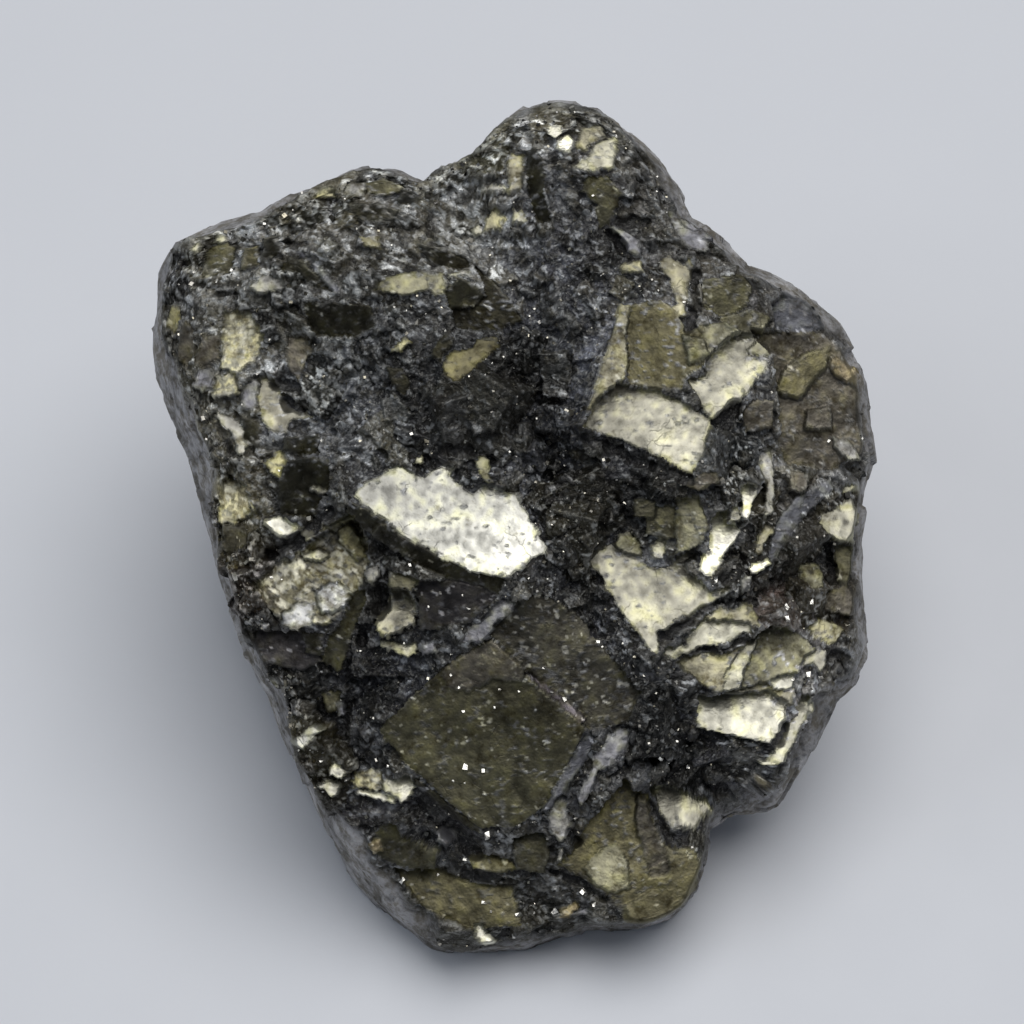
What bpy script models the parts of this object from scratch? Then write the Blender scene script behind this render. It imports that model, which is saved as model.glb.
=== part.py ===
"""Pyrite crystal: a broken hand-sized chip of dark, granular matrix with brassy cubes grown into it.

One natural piece, so one closed solid.  The chip rests on a broken base at z = 0.  Its crystal-rich
face slopes up and back, and all of its layout is given in that face's own frame:
u to the right, v up the slope, w out of the face (millimetres).
"""
import math

import bmesh
import bpy
import numpy as np
from mathutils import Matrix, Vector, noise

MM = 0.001

# How the crystal-rich face stands over the ground.
FACE_ELEVATION = math.radians(55.0)
FACE_CENTRE_HEIGHT = 9.2
DEPTH_SHIFT = -1.35

# Smooth shape of the host rock.
HOST_CENTRE = (0.2, 0.0, -4.5)
FACE_TOP = 1.25
FACE_DROP_LEFT = 0.008
FACE_DROP_RIGHT = 0.016
FACE_DROP_ENDS = 0.0115
FACE_RIDGE_LINE = -2.0
WALL_TAPER = 0.020
WALL_SPREAD = 0.32
WALL_EASE = 5.0
RIM_DEPTH_LEFT = -3.6
RIM_DEPTH_RIGHT = -2.4
RIM_INSET_LEFT = 0.15
RIM_INSET_RIGHT = 0.05
EDGE_ROUNDING = 0.55

# Rear and underside of the chip: broken planes as (outward normal in world axes, distance).
REAR_PLANES = (
    ((0.10, 0.94, -0.33), 10.6),
    ((0.72, 0.62, -0.30), 11.6),
    ((-0.66, 0.66, -0.36), 11.2),
    ((0.94, -0.05, -0.34), 12.1),
    ((-0.90, -0.10, -0.42), 11.0),
)

# Lumps and hollows of the face: (u, v, spread, height).
SWELLS = (
    (5.0, 5.2, 2.4, 0.45),
    (6.6, -3.4, 2.4, 0.55),
    (-1.2, -6.4, 2.6, 0.45),
    (-2.2, 0.4, 2.0, 0.35),
    (2.4, 11.6, 1.6, 0.45),
    (-6.0, 8.0, 2.4, 0.25),
    (4.2, -10.6, 1.5, 0.35),
    (-5.6, 3.6, 1.7, -0.30),
    (6.6, -7.6, 1.2, -0.55),
    (-5.0, -5.0, 1.2, -0.45),
    (-2.2, -9.2, 0.8, -0.75),
    (7.0, 1.8, 1.1, -0.45),
)

# Dark valley that runs down the middle of the face: its line, depth and half width.
VALLEY_LINE = (
    (-1.6, 9.2),
    (0.5, 6.1),
    (1.6, 3.0),
    (1.9, 0.6),
    (3.9, -4.2),
    (4.8, -6.4),
    (6.6, -7.8),
)
VALLEY_DEPTH = 0.80
VALLEY_WIDTH = 1.10

# Unevenness of the rock surface: (grain size, height).
ROUGHNESS = (
    (4.6, 0.50),
    (2.2, 0.34),
    (1.1, 0.16),
)
SIDEWAYS_SHARE = 0.30
SIDEWAYS_EASE = 3.0
ROUGHNESS_AT_CRYSTALS = 0.25
ROUGHNESS_REACH = 0.9

# Rock that laps up against the crystals: how far below a crystal's face it stops, and its fall.
BEDDING_GAP = 0.28
BEDDING_FALL = 1.3

HOST_SUBDIVISIONS = 6
HOST_KEEP = 0.28

# Outline of the chip square to its crystal-rich face, clockwise from the upper left corner.
OUTLINE = (
    (-11.38, 8.15),
    (-10.82, 9.18),
    (-9.92, 9.46),
    (-7.97, 10.04),
    (-6.29, 10.73),
    (-4.68, 11.38),
    (-3.78, 11.38),
    (-2.79, 10.91),
    (-1.30, 11.84),
    (0.40, 13.21),
    (1.02, 13.39),
    (2.73, 13.24),
    (3.94, 12.25),
    (5.24, 10.82),
    (5.67, 9.80),
    (7.44, 8.28),
    (8.99, 7.53),
    (10.26, 6.39),
    (11.01, 4.87),
    (11.28, 3.19),
    (11.41, 2.11),
    (11.16, 1.18),
    (10.94, -0.37),
    (11.01, -2.23),
    (11.07, -4.09),
    (10.79, -4.93),
    (10.17, -5.43),
    (9.83, -6.23),
    (9.11, -7.75),
    (8.37, -8.80),
    (6.91, -8.96),
    (6.20, -9.42),
    (6.01, -10.60),
    (5.67, -11.69),
    (4.96, -12.40),
    (3.97, -12.68),
    (2.42, -12.68),
    (1.49, -12.93),
    (0.40, -13.33),
    (-1.46, -13.45),
    (-2.54, -13.24),
    (-3.78, -12.31),
    (-5.18, -10.76),
    (-6.01, -9.05),
    (-6.88, -7.19),
    (-7.75, -5.33),
    (-8.28, -4.43),
    (-8.80, -3.10),
    (-9.21, -1.92),
    (-9.52, -0.53),
    (-9.83, 0.87),
    (-10.20, 2.17),
    (-10.91, 3.88),
    (-11.28, 4.90),
    (-11.44, 6.45),
)

# Crystal faces: name, tilt (u, v parts of the face normal), height over the rock at the middle,
# depth of the crystal behind the face, corners.
CRYSTALS = (
    ("great_cube", (-0.04, -0.06), 0.60, 3.2,
     ((-4.0, -6.1), (-0.8, -3.4), (2.2, -6.4), (-1.0, -9.3))),
    ("great_cube_back", (0.20, 0.16), 0.35, 3.0,
     ((-1.5, -4.0), (0.9, -2.4), (4.0, -5.0), (3.5, -5.9), (2.2, -6.6))),
    ("slab_upper", (0.52, -0.18), 0.20, 1.6,
     ((2.3, -6.5), (3.6, -5.9), (3.4, -6.8), (2.5, -7.6), (1.9, -7.3))),
    ("slab_lower", (0.48, -0.22), 0.30, 1.6,
     ((0.9, -8.6), (2.3, -7.2), (2.6, -7.6), (1.6, -9.5), (1.2, -9.5))),
    ("bright_block", (0.20, 0.42), 0.50, 2.1,
     ((-4.8, 1.0), (-3.6, 1.95), (-1.8, 1.9), (0.0, 1.05), (1.05, -0.5), (-0.3, -1.5),
      (-2.2, -0.9), (-4.0, 0.35))),
    ("small_cream", (-0.05, 0.40), 0.25, 1.1,
     ((-3.6, -1.9), (-3.1, -1.9), (-3.0, -2.9), (-3.6, -3.15), (-4.15, -3.1))),
    ("upright_gray", (-0.50, -0.10), 0.25, 1.4,
     ((-4.9, -1.3), (-4.4, -1.7), (-4.8, -3.0), (-5.2, -3.9), (-5.7, -4.0), (-5.3, -2.6))),
    ("olive_wedge", (0.15, -0.30), 0.25, 1.4,
     ((-3.0, -1.6), (-1.9, -1.6), (-0.7, -2.3), (-1.6, -3.3), (-2.8, -3.0))),
    ("striated_face", (-0.18, 0.30), 0.40, 1.6,
     ((-7.5, -1.0), (-5.1, 0.35), (-4.5, -0.5), (-4.9, -2.4), (-6.0, -3.1), (-7.4, -2.6),
      (-7.9, -1.9))),
    ("dark_olive", (-0.22, -0.20), 0.35, 1.6,
     ((-7.1, 2.1), (-6.5, 2.75), (-5.7, 2.2), (-5.6, 1.2), (-6.2, 0.15), (-7.2, 0.5))),
    ("rim_gold", (-0.35, 0.30), 0.15, 1.3,
     ((-9.0, 1.3), (-8.2, 1.4), (-7.8, 0.5), (-8.1, -0.3), (-8.8, -0.2))),
    ("white_chip", (0.10, 0.48), 0.20, 0.8,
     ((-7.5, 0.3), (-6.9, 0.35), (-6.3, 0.0), (-6.8, -0.35), (-7.5, -0.1))),
    ("spark_face", (-0.15, 0.34), 0.20, 1.4,
     ((-9.3, 6.4), (-6.7, 7.0), (-7.0, 5.2), (-8.2, 4.6), (-9.1, 5.2))),
    ("cream_upright", (-0.10, 0.42), 0.20, 1.0,
     ((-7.8, 4.5), (-7.2, 4.4), (-6.8, 3.5), (-7.0, 2.95), (-7.7, 3.1))),
    ("rim_cream", (-0.40, 0.30), 0.20, 1.0,
     ((-9.1, 3.6), (-8.6, 3.5), (-8.0, 2.3), (-8.4, 2.2))),
    ("brown_square", (-0.10, -0.22), 0.20, 1.4,
     ((-6.3, 6.95), (-4.6, 6.95), (-4.3, 6.2), (-4.7, 5.9), (-6.2, 5.95))),
    ("pale_strip", (0.05, 0.36), 0.20, 1.1,
     ((-3.9, 7.8), (-2.1, 8.0), (-2.1, 7.3), (-3.7, 7.2))),
    ("dark_cube", (0.12, -0.24), 0.35, 1.6,
     ((-2.05, 7.5), (-1.3, 7.95), (0.2, 6.6), (-0.6, 6.15), (-1.7, 6.6))),
    ("pale_block", (0.10, 0.36), 0.25, 1.1,
     ((-2.15, 5.25), (-0.75, 6.0), (-0.5, 5.7), (-1.6, 4.5))),
    ("hump_olive", (-0.05, 0.10), 0.20, 1.4,
     ((-5.1, 10.05), (-3.9, 10.1), (-3.4, 9.75), (-4.0, 9.4), (-5.1, 9.5))),
    ("hump_top", (0.10, 0.35), 0.15, 1.1,
     ((-4.6, 10.9), (-3.3, 10.75), (-3.0, 10.25), (-4.3, 10.4))),
    ("top_ledge", (0.05, 0.36), 0.55, 1.4,
     ((0.9, 12.4), (2.3, 12.7), (3.4, 12.1), (3.2, 11.15), (1.7, 11.1), (1.1, 11.7))),
    ("top_olive", (0.10, -0.10), 0.15, 1.4,
     ((1.7, 11.0), (3.4, 11.0), (3.2, 9.9), (3.0, 9.2), (1.8, 9.3))),
    ("top_upright", (-0.42, -0.10), 0.30, 1.4,
     ((0.3, 11.8), (1.1, 11.2), (1.6, 9.7), (1.5, 9.2), (0.6, 9.5))),
    ("gold_bar", (-0.10, 0.34), 0.25, 1.1,
     ((-0.2, 11.5), (0.35, 11.5), (0.35, 10.4), (-0.25, 10.4))),
    ("gold_patch", (-0.15, 0.30), 0.20, 1.1,
     ((-1.0, 9.6), (0.0, 10.0), (0.35, 9.4), (-0.5, 8.9))),
    ("edge_sliver", (0.30, 0.30), 0.25, 1.0,
     ((3.0, 9.5), (3.9, 8.8), (3.8, 8.5), (3.4, 8.6))),
    ("pale_upright", (0.25, 0.30), 0.30, 1.3,
     ((4.6, 8.35), (5.35, 8.3), (5.55, 7.6), (5.35, 6.3), (4.8, 6.9), (4.9, 7.8))),
    ("far_olive", (0.15, 0.05), 0.30, 1.4,
     ((5.9, 7.95), (7.4, 7.9), (7.7, 6.9), (6.6, 6.25), (5.9, 6.6))),
    ("olive_gold", (-0.12, 0.16), 0.25, 1.8,
     ((2.8, 5.3), (3.4, 6.5), (5.2, 6.1), (5.8, 5.5), (5.2, 4.5), (4.2, 4.3))),
    ("bright_square", (-0.04, 0.44), 0.40, 1.8,
     ((2.2, 3.3), (2.8, 4.25), (4.0, 4.3), (5.3, 4.0), (6.05, 3.1), (5.5, 1.75), (4.1, 2.3))),
    ("arrow_block", (0.08, 0.42), 0.45, 1.6,
     ((5.35, 4.5), (6.5, 5.75), (7.6, 5.95), (8.0, 5.1), (7.4, 4.2), (6.1, 3.35))),
    ("right_shoulder", (0.30, 0.10), 0.25, 1.6,
     ((8.2, 5.6), (9.9, 5.4), (10.6, 4.8), (10.6, 3.7), (9.3, 3.4), (8.3, 4.0))),
    ("right_dull", (0.10, -0.20), 0.20, 1.4,
     ((7.0, 3.6), (8.2, 3.9), (8.7, 2.7), (7.6, 2.1))),
    ("right_dull_low", (0.34, 0.04), 0.20, 1.4,
     ((8.9, 3.2), (10.6, 3.3), (10.8, 2.0), (9.6, 1.7))),
    ("white_bar", (-0.18, 0.36), 0.40, 1.1,
     ((7.0, 1.4), (7.6, 1.1), (7.0, -0.3), (6.1, -1.5), (5.75, -1.25), (6.2, 0.2))),
    ("long_pale", (0.30, 0.12), 0.20, 1.1,
     ((7.6, 2.1), (8.15, 1.9), (8.1, 0.0), (7.7, -0.8), (7.5, 0.3))),
    ("dull_steps", (-0.10, 0.10), 0.20, 1.6,
     ((3.7, 0.9), (5.2, 0.95), (6.0, 0.2), (5.6, -1.0), (4.0, -0.5))),
    ("cream_plate", (0.20, 0.34), 0.45, 1.8,
     ((2.35, -0.95), (3.5, -0.15), (4.6, -0.8), (5.9, -1.5), (6.7, -1.95), (5.1, -2.9),
      (4.35, -3.85), (3.3, -2.4))),
    ("cream_crescent", (0.00, 0.42), 0.45, 1.3,
     ((4.7, -3.95), (5.6, -3.15), (6.2, -2.6), (7.3, -2.4), (7.6, -3.0), (6.2, -3.65))),
    ("dull_gold", (0.05, 0.22), 0.35, 1.9,
     ((5.1, -4.0), (7.2, -3.4), (8.4, -2.95), (9.7, -3.8), (9.6, -4.6), (8.4, -5.2),
      (6.3, -5.05))),
    ("bright_brick", (0.10, 0.44), 0.55, 1.6,
     ((5.7, -5.2), (8.3, -5.2), (8.45, -5.9), (8.1, -6.55), (5.7, -6.05))),
    ("curved_edge", (0.40, 0.34), 0.25, 0.8,
     ((7.6, -7.2), (8.4, -6.4), (8.8, -5.2), (9.3, -5.2), (9.1, -6.1), (8.3, -7.2))),
    ("east_cream", (0.28, 0.36), 0.25, 1.0,
     ((9.35, 0.25), (10.45, 0.9), (10.75, 0.4), (10.6, -0.45), (10.1, -0.45))),
    ("east_dull", (0.30, 0.05), 0.20, 1.1,
     ((8.9, -1.1), (9.6, -1.0), (9.95, -1.6), (9.3, -2.0), (8.85, -1.7))),
    ("east_gold", (0.25, 0.25), 0.20, 1.0,
     ((9.1, -2.9), (10.2, -2.8), (10.3, -3.5), (9.7, -3.75), (9.1, -3.3))),
    ("south_pale", (0.05, 0.42), 0.35, 1.0,
     ((4.2, -7.95), (4.9, -8.1), (6.2, -8.7), (5.7, -9.3), (4.9, -9.3))),
    ("south_lobe", (0.10, 0.12), 0.30, 1.6,
     ((1.4, -10.3), (3.2, -7.8), (3.9, -7.9), (4.8, -9.6), (5.7, -9.9), (5.5, -11.3),
      (4.8, -12.0), (3.7, -12.1), (2.7, -11.3))),
    ("west_gold", (-0.08, 0.38), 0.30, 1.0,
     ((-5.0, -7.4), (-3.1, -7.5), (-2.95, -7.9), (-3.4, -8.5), (-5.0, -8.15))),
    ("west_white", (-0.20, 0.42), 0.25, 0.8,
     ((-5.9, -7.9), (-5.3, -7.05), (-5.05, -7.5), (-5.2, -8.1))),
    ("west_pale", (-0.20, 0.36), 0.20, 1.0,
     ((-6.8, -6.4), (-5.9, -5.85), (-5.5, -6.1), (-6.3, -6.7))),
    ("base_dull", (-0.12, -0.10), 0.25, 1.4,
     ((-4.4, -10.0), (-3.8, -9.3), (-2.6, -9.9), (-1.0, -10.9), (-1.6, -12.1), (-3.3, -11.3))),
    ("base_pale", (0.05, 0.30), 0.25, 1.0,
     ((-1.5, -10.1), (-0.6, -9.9), (0.1, -10.4), (-0.3, -10.8), (-1.4, -10.6))),
    ("base_olive", (0.12, -0.15), 0.20, 1.1,
     ((0.0, -9.3), (1.0, -9.2), (1.3, -10.0), (1.0, -11.0), (0.0, -10.4))),
    ("rim_north", (-0.20, 0.20), 0.20, 1.4,
     ((-9.9, 8.2), (-9.0, 8.8), (-8.3, 8.6), (-8.5, 7.9), (-9.5, 7.7))),
    ("north_pale", (0.00, 0.38), 0.25, 1.0,
     ((-8.1, 7.5), (-7.3, 7.75), (-7.1, 7.3), (-7.9, 7.15))),
    ("north_dark", (0.15, -0.15), 0.30, 1.4,
     ((-7.7, 8.9), (-6.9, 9.2), (-6.4, 8.6), (-7.3, 8.2))),
    ("north_wedge", (-0.10, 0.05), 0.25, 1.2,
     ((-6.6, 8.3), (-5.7, 8.1), (-5.5, 7.5), (-6.3, 7.4))),
    ("ochre_chip", (0.10, -0.10), 0.25, 1.0,
     ((-3.9, 4.9), (-3.4, 4.8), (-3.2, 4.4), (-3.7, 4.2))),
    ("brown_chip", (-0.25, 0.20), 0.25, 1.0,
     ((-6.8, 5.9), (-6.35, 5.9), (-6.2, 4.7), (-6.7, 4.8))),
    ("olive_strip", (0.15, 0.05), 0.25, 1.2,
     ((-2.9, 8.9), (-1.4, 8.3), (-1.6, 7.95), (-2.7, 8.3))),
    ("west_dull", (-0.15, 0.05), 0.25, 1.2,
     ((-7.0, -5.1), (-5.7, -4.9), (-5.2, -5.6), (-6.3, -5.9))),
    ("south_cream", (0.10, 0.30), 0.25, 1.0,
     ((1.1, -11.5), (2.3, -11.2), (2.7, -11.7), (1.3, -12.0))),
    ("south_white", (-0.20, 0.25), 0.25, 0.9,
     ((-1.3, -12.1), (-0.7, -12.1), (-0.5, -12.8), (-0.9, -12.8))),
    ("gray_ledge", (0.25, -0.12), 0.30, 1.4,
     ((9.8, 1.6), (10.1, 1.35), (9.1, 0.5), (8.7, -0.6), (8.2, -1.5), (7.95, -1.2),
      (8.4, 0.5), (8.9, 1.2))),
    ("far_dull", (0.10, -0.05), 0.25, 1.4,
     ((3.1, 8.2), (4.1, 8.2), (3.9, 7.7), (3.1, 7.6))),
)

# Pits and open joints: name, (u, v) ends, width, depth below the rock.
PITS = (
    ("pit_beside_cream", (-4.2, -1.8), (-4.15, -2.5), 0.34, 0.9),
    ("joint_west", (-7.7, -0.95), (-5.5, 0.55), 0.26, 0.6),
    ("joint_north", (5.72, 8.0), (5.65, 6.2), 0.24, 0.6),
    ("slot_north", (2.95, 9.05), (3.55, 8.6), 0.28, 0.7),
    ("slot_middle", (-1.95, 2.4), (-1.25, 2.35), 0.30, 0.7),
    ("joint_east", (9.8, -0.55), (10.1, -1.6), 0.20, 0.5),
    ("joint_plate", (4.8, -3.3), (6.1, -2.35), 0.22, 0.6),
)

# Cubes grown into the rear and side walls: name, centre, edge lengths, turns about x, y, z (degrees).
WALL_CUBES = (
    ("rear_cube_a", (-3.4, 8.6, 7.0), (3.4, 3.0, 3.2), (20.0, 10.0, 15.0)),
    ("rear_cube_b", (3.4, 9.0, 8.6), (2.8, 2.6, 2.8), (-15.0, 25.0, 30.0)),
    ("rear_cube_c", (0.4, 7.6, 3.2), (2.4, 2.4, 2.2), (10.0, -20.0, 40.0)),
    ("rear_cube_d", (-6.0, 6.8, 3.6), (2.0, 2.0, 1.8), (-12.0, 18.0, 55.0)),
    ("rear_cube_e", (7.0, 6.4, 4.6), (2.4, 2.2, 2.4), (-20.0, 15.0, 60.0)),
    ("east_cube_a", (9.0, 1.6, 5.0), (2.2, 2.4, 2.2), (12.0, 20.0, 25.0)),
    ("west_cube_a", (-8.2, 3.0, 4.2), (2.0, 2.2, 2.0), (15.0, -20.0, 20.0)),
)

PYRITE_COLOUR = (0.30, 0.27, 0.19, 1.0)
PYRITE_ROUGHNESS = 0.42
PYRITE_METALLIC = 0.6


def to_world(u, v, w):
    """World position, in mm, of a point given in the face frame."""
    sine = math.sin(FACE_ELEVATION)
    cosine = math.cos(FACE_ELEVATION)
    return (u, v * sine - w * cosine + DEPTH_SHIFT, v * cosine + w * sine + FACE_CENTRE_HEIGHT)


def outline_radius(angle):
    """Distance from the host's centre line to its outline, at an angle in the face plane."""
    points = np.array(OUTLINE) - np.array(HOST_CENTRE[:2])
    angles = np.arctan2(points[:, 1], points[:, 0])
    radii = np.hypot(points[:, 0], points[:, 1])
    order = np.argsort(angles)
    return np.interp(angle, angles[order], radii[order], period=2.0 * math.pi)


def rear_radius(angle):
    """Outline radius with its points worn off, as the walls have it towards the rear."""
    turns = np.linspace(-WALL_SPREAD, WALL_SPREAD, 9)
    return np.min([outline_radius(angle + turn) for turn in turns], axis=0)


def valley_distance(u, v):
    """Distance in the face plane from the line of the valley."""
    nearest = np.full(np.shape(u), 1e9)
    for (u0, v0), (u1, v1) in zip(VALLEY_LINE[:-1], VALLEY_LINE[1:]):
        run = (u1 - u0) ** 2 + (v1 - v0) ** 2
        share = np.clip(((u - u0) * (u1 - u0) + (v - v0) * (v1 - v0)) / run, 0.0, 1.0)
        reach = np.hypot(u - u0 - share * (u1 - u0), v - v0 - share * (v1 - v0))
        nearest = np.minimum(nearest, reach)
    return nearest


def face_height(u, v):
    """Height w of the smooth rock face."""
    side = u - FACE_RIDGE_LINE
    drop = np.where(side < 0.0, FACE_DROP_LEFT, FACE_DROP_RIGHT) * side ** 2
    height = FACE_TOP - drop - FACE_DROP_ENDS * v ** 2
    for centre_u, centre_v, spread, rise in SWELLS:
        reach = (u - centre_u) ** 2 + (v - centre_v) ** 2
        height = height + rise * np.exp(-reach / (2.0 * spread ** 2))
    valley = (valley_distance(u, v) / VALLEY_WIDTH) ** 2
    return height - VALLEY_DEPTH * np.exp(-0.5 * valley)


def crystal_plane(tilt, stand, corners):
    """Middle (u, v, w) and normal of a crystal's face."""
    middle_u = sum(corner[0] for corner in corners) / len(corners)
    middle_v = sum(corner[1] for corner in corners) / len(corners)
    rise = float(face_height(middle_u, middle_v)) + stand
    forward = math.sqrt(1.0 - tilt[0] ** 2 - tilt[1] ** 2)
    return (middle_u, middle_v, rise), (tilt[0], tilt[1], forward)


def plane_height(u, v, middle, normal):
    """Height w of a crystal's face plane."""
    slope = (normal[0] * (u - middle[0]) + normal[1] * (v - middle[1])) / normal[2]
    return middle[2] - slope


def outside_distance(u, v, corners):
    """Distance in the face plane from a crystal's outline; zero inside it."""
    nearest = np.full(np.shape(u), 1e9)
    inside = np.zeros(np.shape(u), dtype=bool)
    for (u0, v0), (u1, v1) in zip(corners, corners[1:] + corners[:1]):
        run = (u1 - u0) ** 2 + (v1 - v0) ** 2
        share = np.clip(((u - u0) * (u1 - u0) + (v - v0) * (v1 - v0)) / run, 0.0, 1.0)
        reach = np.hypot(u - u0 - share * (u1 - u0), v - v0 - share * (v1 - v0))
        nearest = np.minimum(nearest, reach)
        if v0 != v1:
            crossing = u0 + (v - v0) * (u1 - u0) / (v1 - v0)
            inside ^= ((v0 > v) != (v1 > v)) & (u < crossing)
    return np.where(inside, 0.0, nearest)


def bedded_height(u, v):
    """Height w of the rock face with the rock lapped up against the crystals."""
    height = face_height(u, v)
    for _, tilt, stand, _, corners in CRYSTALS:
        middle, normal = crystal_plane(tilt, stand, corners)
        lap = plane_height(u, v, middle, normal) - BEDDING_GAP
        lap = lap - BEDDING_FALL * outside_distance(u, v, corners)
        height = np.maximum(height, lap)
    return height


def crystal_distance(u, v):
    """Distance in the face plane from the nearest crystal."""
    nearest = np.full(np.shape(u), 1e9)
    for crystal_row in CRYSTALS:
        nearest = np.minimum(nearest, outside_distance(u, v, crystal_row[4]))
    return nearest


def smooth_max(values, rounding):
    """Largest of several fields, with their meeting edges rounded."""
    stack = np.stack(values)
    top = stack.max(axis=0)
    return top + rounding * np.log(np.exp((stack - top) / rounding).sum(axis=0))


def host_field(u, v, w):
    """Field of the host rock: negative inside, positive outside."""
    off_u = u - HOST_CENTRE[0]
    off_v = v - HOST_CENTRE[1]
    angle = np.arctan2(off_v, off_u)
    leftness = 0.5 - 0.5 * np.cos(angle + math.radians(20.0))
    rim_depth = RIM_DEPTH_RIGHT + (RIM_DEPTH_LEFT - RIM_DEPTH_RIGHT) * leftness
    inset = RIM_INSET_RIGHT + (RIM_INSET_LEFT - RIM_INSET_RIGHT) * leftness ** 2
    forward = np.clip((w - rim_depth) / (0.6 - rim_depth), 0.0, 1.3)
    backward = np.clip(rim_depth - w, 0.0, None)
    scale = 1.0 - inset * forward ** 1.3 - WALL_TAPER * backward
    ease = np.clip(backward / WALL_EASE, 0.0, 1.0)
    radius = (1.0 - ease) * outline_radius(angle) + ease * rear_radius(angle)
    wall = np.hypot(off_u, off_v) - radius * scale
    x, y, z = to_world(u, v, w)
    fields = [wall, w - bedded_height(u, v)]
    for normal, distance in REAR_PLANES:
        length = math.sqrt(sum(part * part for part in normal))
        across = (x * normal[0] + y * normal[1] + (z - FACE_CENTRE_HEIGHT) * normal[2]) / length
        fields.append(across - distance)
    return smooth_max(fields, EDGE_ROUNDING * 0.3)


def rock_noise(point):
    """Height of the rock's unevenness at a world point in mm."""
    height = 0.0
    for step, (size, rise) in enumerate(ROUGHNESS):
        offset = Vector((7.3 * step, 3.1 * step, 5.7 * step))
        height += rise * noise.noise(Vector(point) / size + offset)
    return height


def new_object(name, vertices, faces, collection):
    """Mesh object from vertices in mm."""
    mesh = bpy.data.meshes.new(name)
    mesh.from_pydata([[MM * part for part in vertex] for vertex in vertices], [], faces)
    mesh.validate()
    built = bpy.data.objects.new(name, mesh)
    collection.objects.link(built)
    return built


def host_rock(collection):
    """The host rock: a sphere pushed out to the field's surface, roughened and thinned."""
    sphere = bmesh.new()
    bmesh.ops.create_icosphere(sphere, subdivisions=HOST_SUBDIVISIONS, radius=1.0)
    rays = np.array([vertex.co for vertex in sphere.verts])
    rays = rays / np.linalg.norm(rays, axis=1)[:, None]
    near = np.zeros(len(rays))
    far = np.full(len(rays), 40.0)
    centre = np.array(HOST_CENTRE)
    for _ in range(20):
        middle = 0.5 * (near + far)
        points = centre + rays * middle[:, None]
        outside = host_field(points[:, 0], points[:, 1], points[:, 2]) > 0.0
        far = np.where(outside, middle, far)
        near = np.where(outside, near, middle)
    points = centre + rays * near[:, None]
    below = np.clip((RIM_DEPTH_LEFT - 1.0 - points[:, 2]) / SIDEWAYS_EASE, 0.0, 1.0)
    sideways = SIDEWAYS_SHARE + (1.0 - SIDEWAYS_SHARE) * below
    reach = np.clip(crystal_distance(points[:, 0], points[:, 1]) / ROUGHNESS_REACH, 0.0, 1.0)
    calm = ROUGHNESS_AT_CRYSTALS + (1.0 - ROUGHNESS_AT_CRYSTALS) * reach
    calm = np.where(rays[:, 2] > 0.0, calm, 1.0)
    pushes = rays * np.stack((sideways, sideways, np.ones(len(rays))), axis=1)
    for vertex, push, point, share in zip(sphere.verts, pushes, points, calm):
        push = share * rock_noise(to_world(*point)) * push
        vertex.co = MM * Vector(to_world(*(point + push)))
    mesh = bpy.data.meshes.new("pyrite_crystal")
    sphere.to_mesh(mesh)
    sphere.free()
    rock = bpy.data.objects.new("pyrite_crystal", mesh)
    collection.objects.link(rock)
    thin = rock.modifiers.new("thin", "DECIMATE")
    thin.ratio = HOST_KEEP
    return rock


def prism(name, front, normal, depth, collection):
    """Straight prism behind a flat face; front is its corner ring in the face frame."""
    back = [[a - depth * b for a, b in zip(corner, normal)] for corner in front]
    ring = len(front)
    vertices = [to_world(*corner) for corner in front + back]
    faces = [list(range(ring)), list(range(2 * ring - 1, ring - 1, -1))]
    for index in range(ring):
        after = (index + 1) % ring
        faces.append([index, index + ring, after + ring, after])
    built = new_object(name, vertices, faces, collection)
    tidy = bmesh.new()
    tidy.from_mesh(built.data)
    bmesh.ops.recalc_face_normals(tidy, faces=tidy.faces)
    tidy.to_mesh(built.data)
    tidy.free()
    return built


def crystal(name, tilt, stand, depth, corners, collection):
    """One grown crystal, its face standing over the rock at its middle."""
    middle, normal = crystal_plane(tilt, stand, corners)
    front = [[u, v, plane_height(u, v, middle, normal)] for u, v in corners]
    return prism(name, front, normal, depth, collection)


def pit(name, start, end, width, depth, collection):
    """Cutter for a pit or an open joint that runs between two points of the face."""
    along = Vector((end[0] - start[0], end[1] - start[1]))
    across = Vector((-along.y, along.x)).normalized() * (0.5 * width)
    first = Vector(start)
    last = Vector(end)
    near_end = first + 0.3 * along
    far_end = first + 0.75 * along
    ring = [first, near_end - across, far_end - 0.7 * across, last, far_end + across,
            near_end + 0.8 * across]
    middle = 0.5 * (first + last)
    top = float(face_height(middle.x, middle.y)) + 2.0
    front = [[corner.x, corner.y, top] for corner in ring]
    return prism(name, front, (0.0, 0.0, 1.0), depth + 2.0, collection)


def wall_cube(name, centre, edges, turns, collection):
    """Cube grown into a rear or side wall."""
    cube = bmesh.new()
    bmesh.ops.create_cube(cube, size=1.0)
    turn = Matrix.Identity(3)
    for angle, axis in zip(turns, "XYZ"):
        turn = Matrix.Rotation(math.radians(angle), 3, axis) @ turn
    for vertex in cube.verts:
        scaled = Vector([part * edge for part, edge in zip(vertex.co, edges)])
        vertex.co = MM * (turn @ scaled + Vector(centre))
    mesh = bpy.data.meshes.new(name)
    cube.to_mesh(mesh)
    cube.free()
    built = bpy.data.objects.new(name, mesh)
    collection.objects.link(built)
    return built


def add_boolean(body, label, operation, operand):
    """Exact boolean with every object of a collection."""
    cut = body.modifiers.new(label, "BOOLEAN")
    cut.operation = operation
    cut.solver = "EXACT"
    cut.operand_type = "COLLECTION"
    cut.collection = operand


def new_collection(name):
    """Collection linked to the scene."""
    made = bpy.data.collections.new(name)
    bpy.context.scene.collection.children.link(made)
    return made


def hide_tools(collection):
    """Show the working bodies as wires only."""
    for tool in collection.objects:
        tool.display_type = "WIRE"
        tool.hide_render = True


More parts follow.
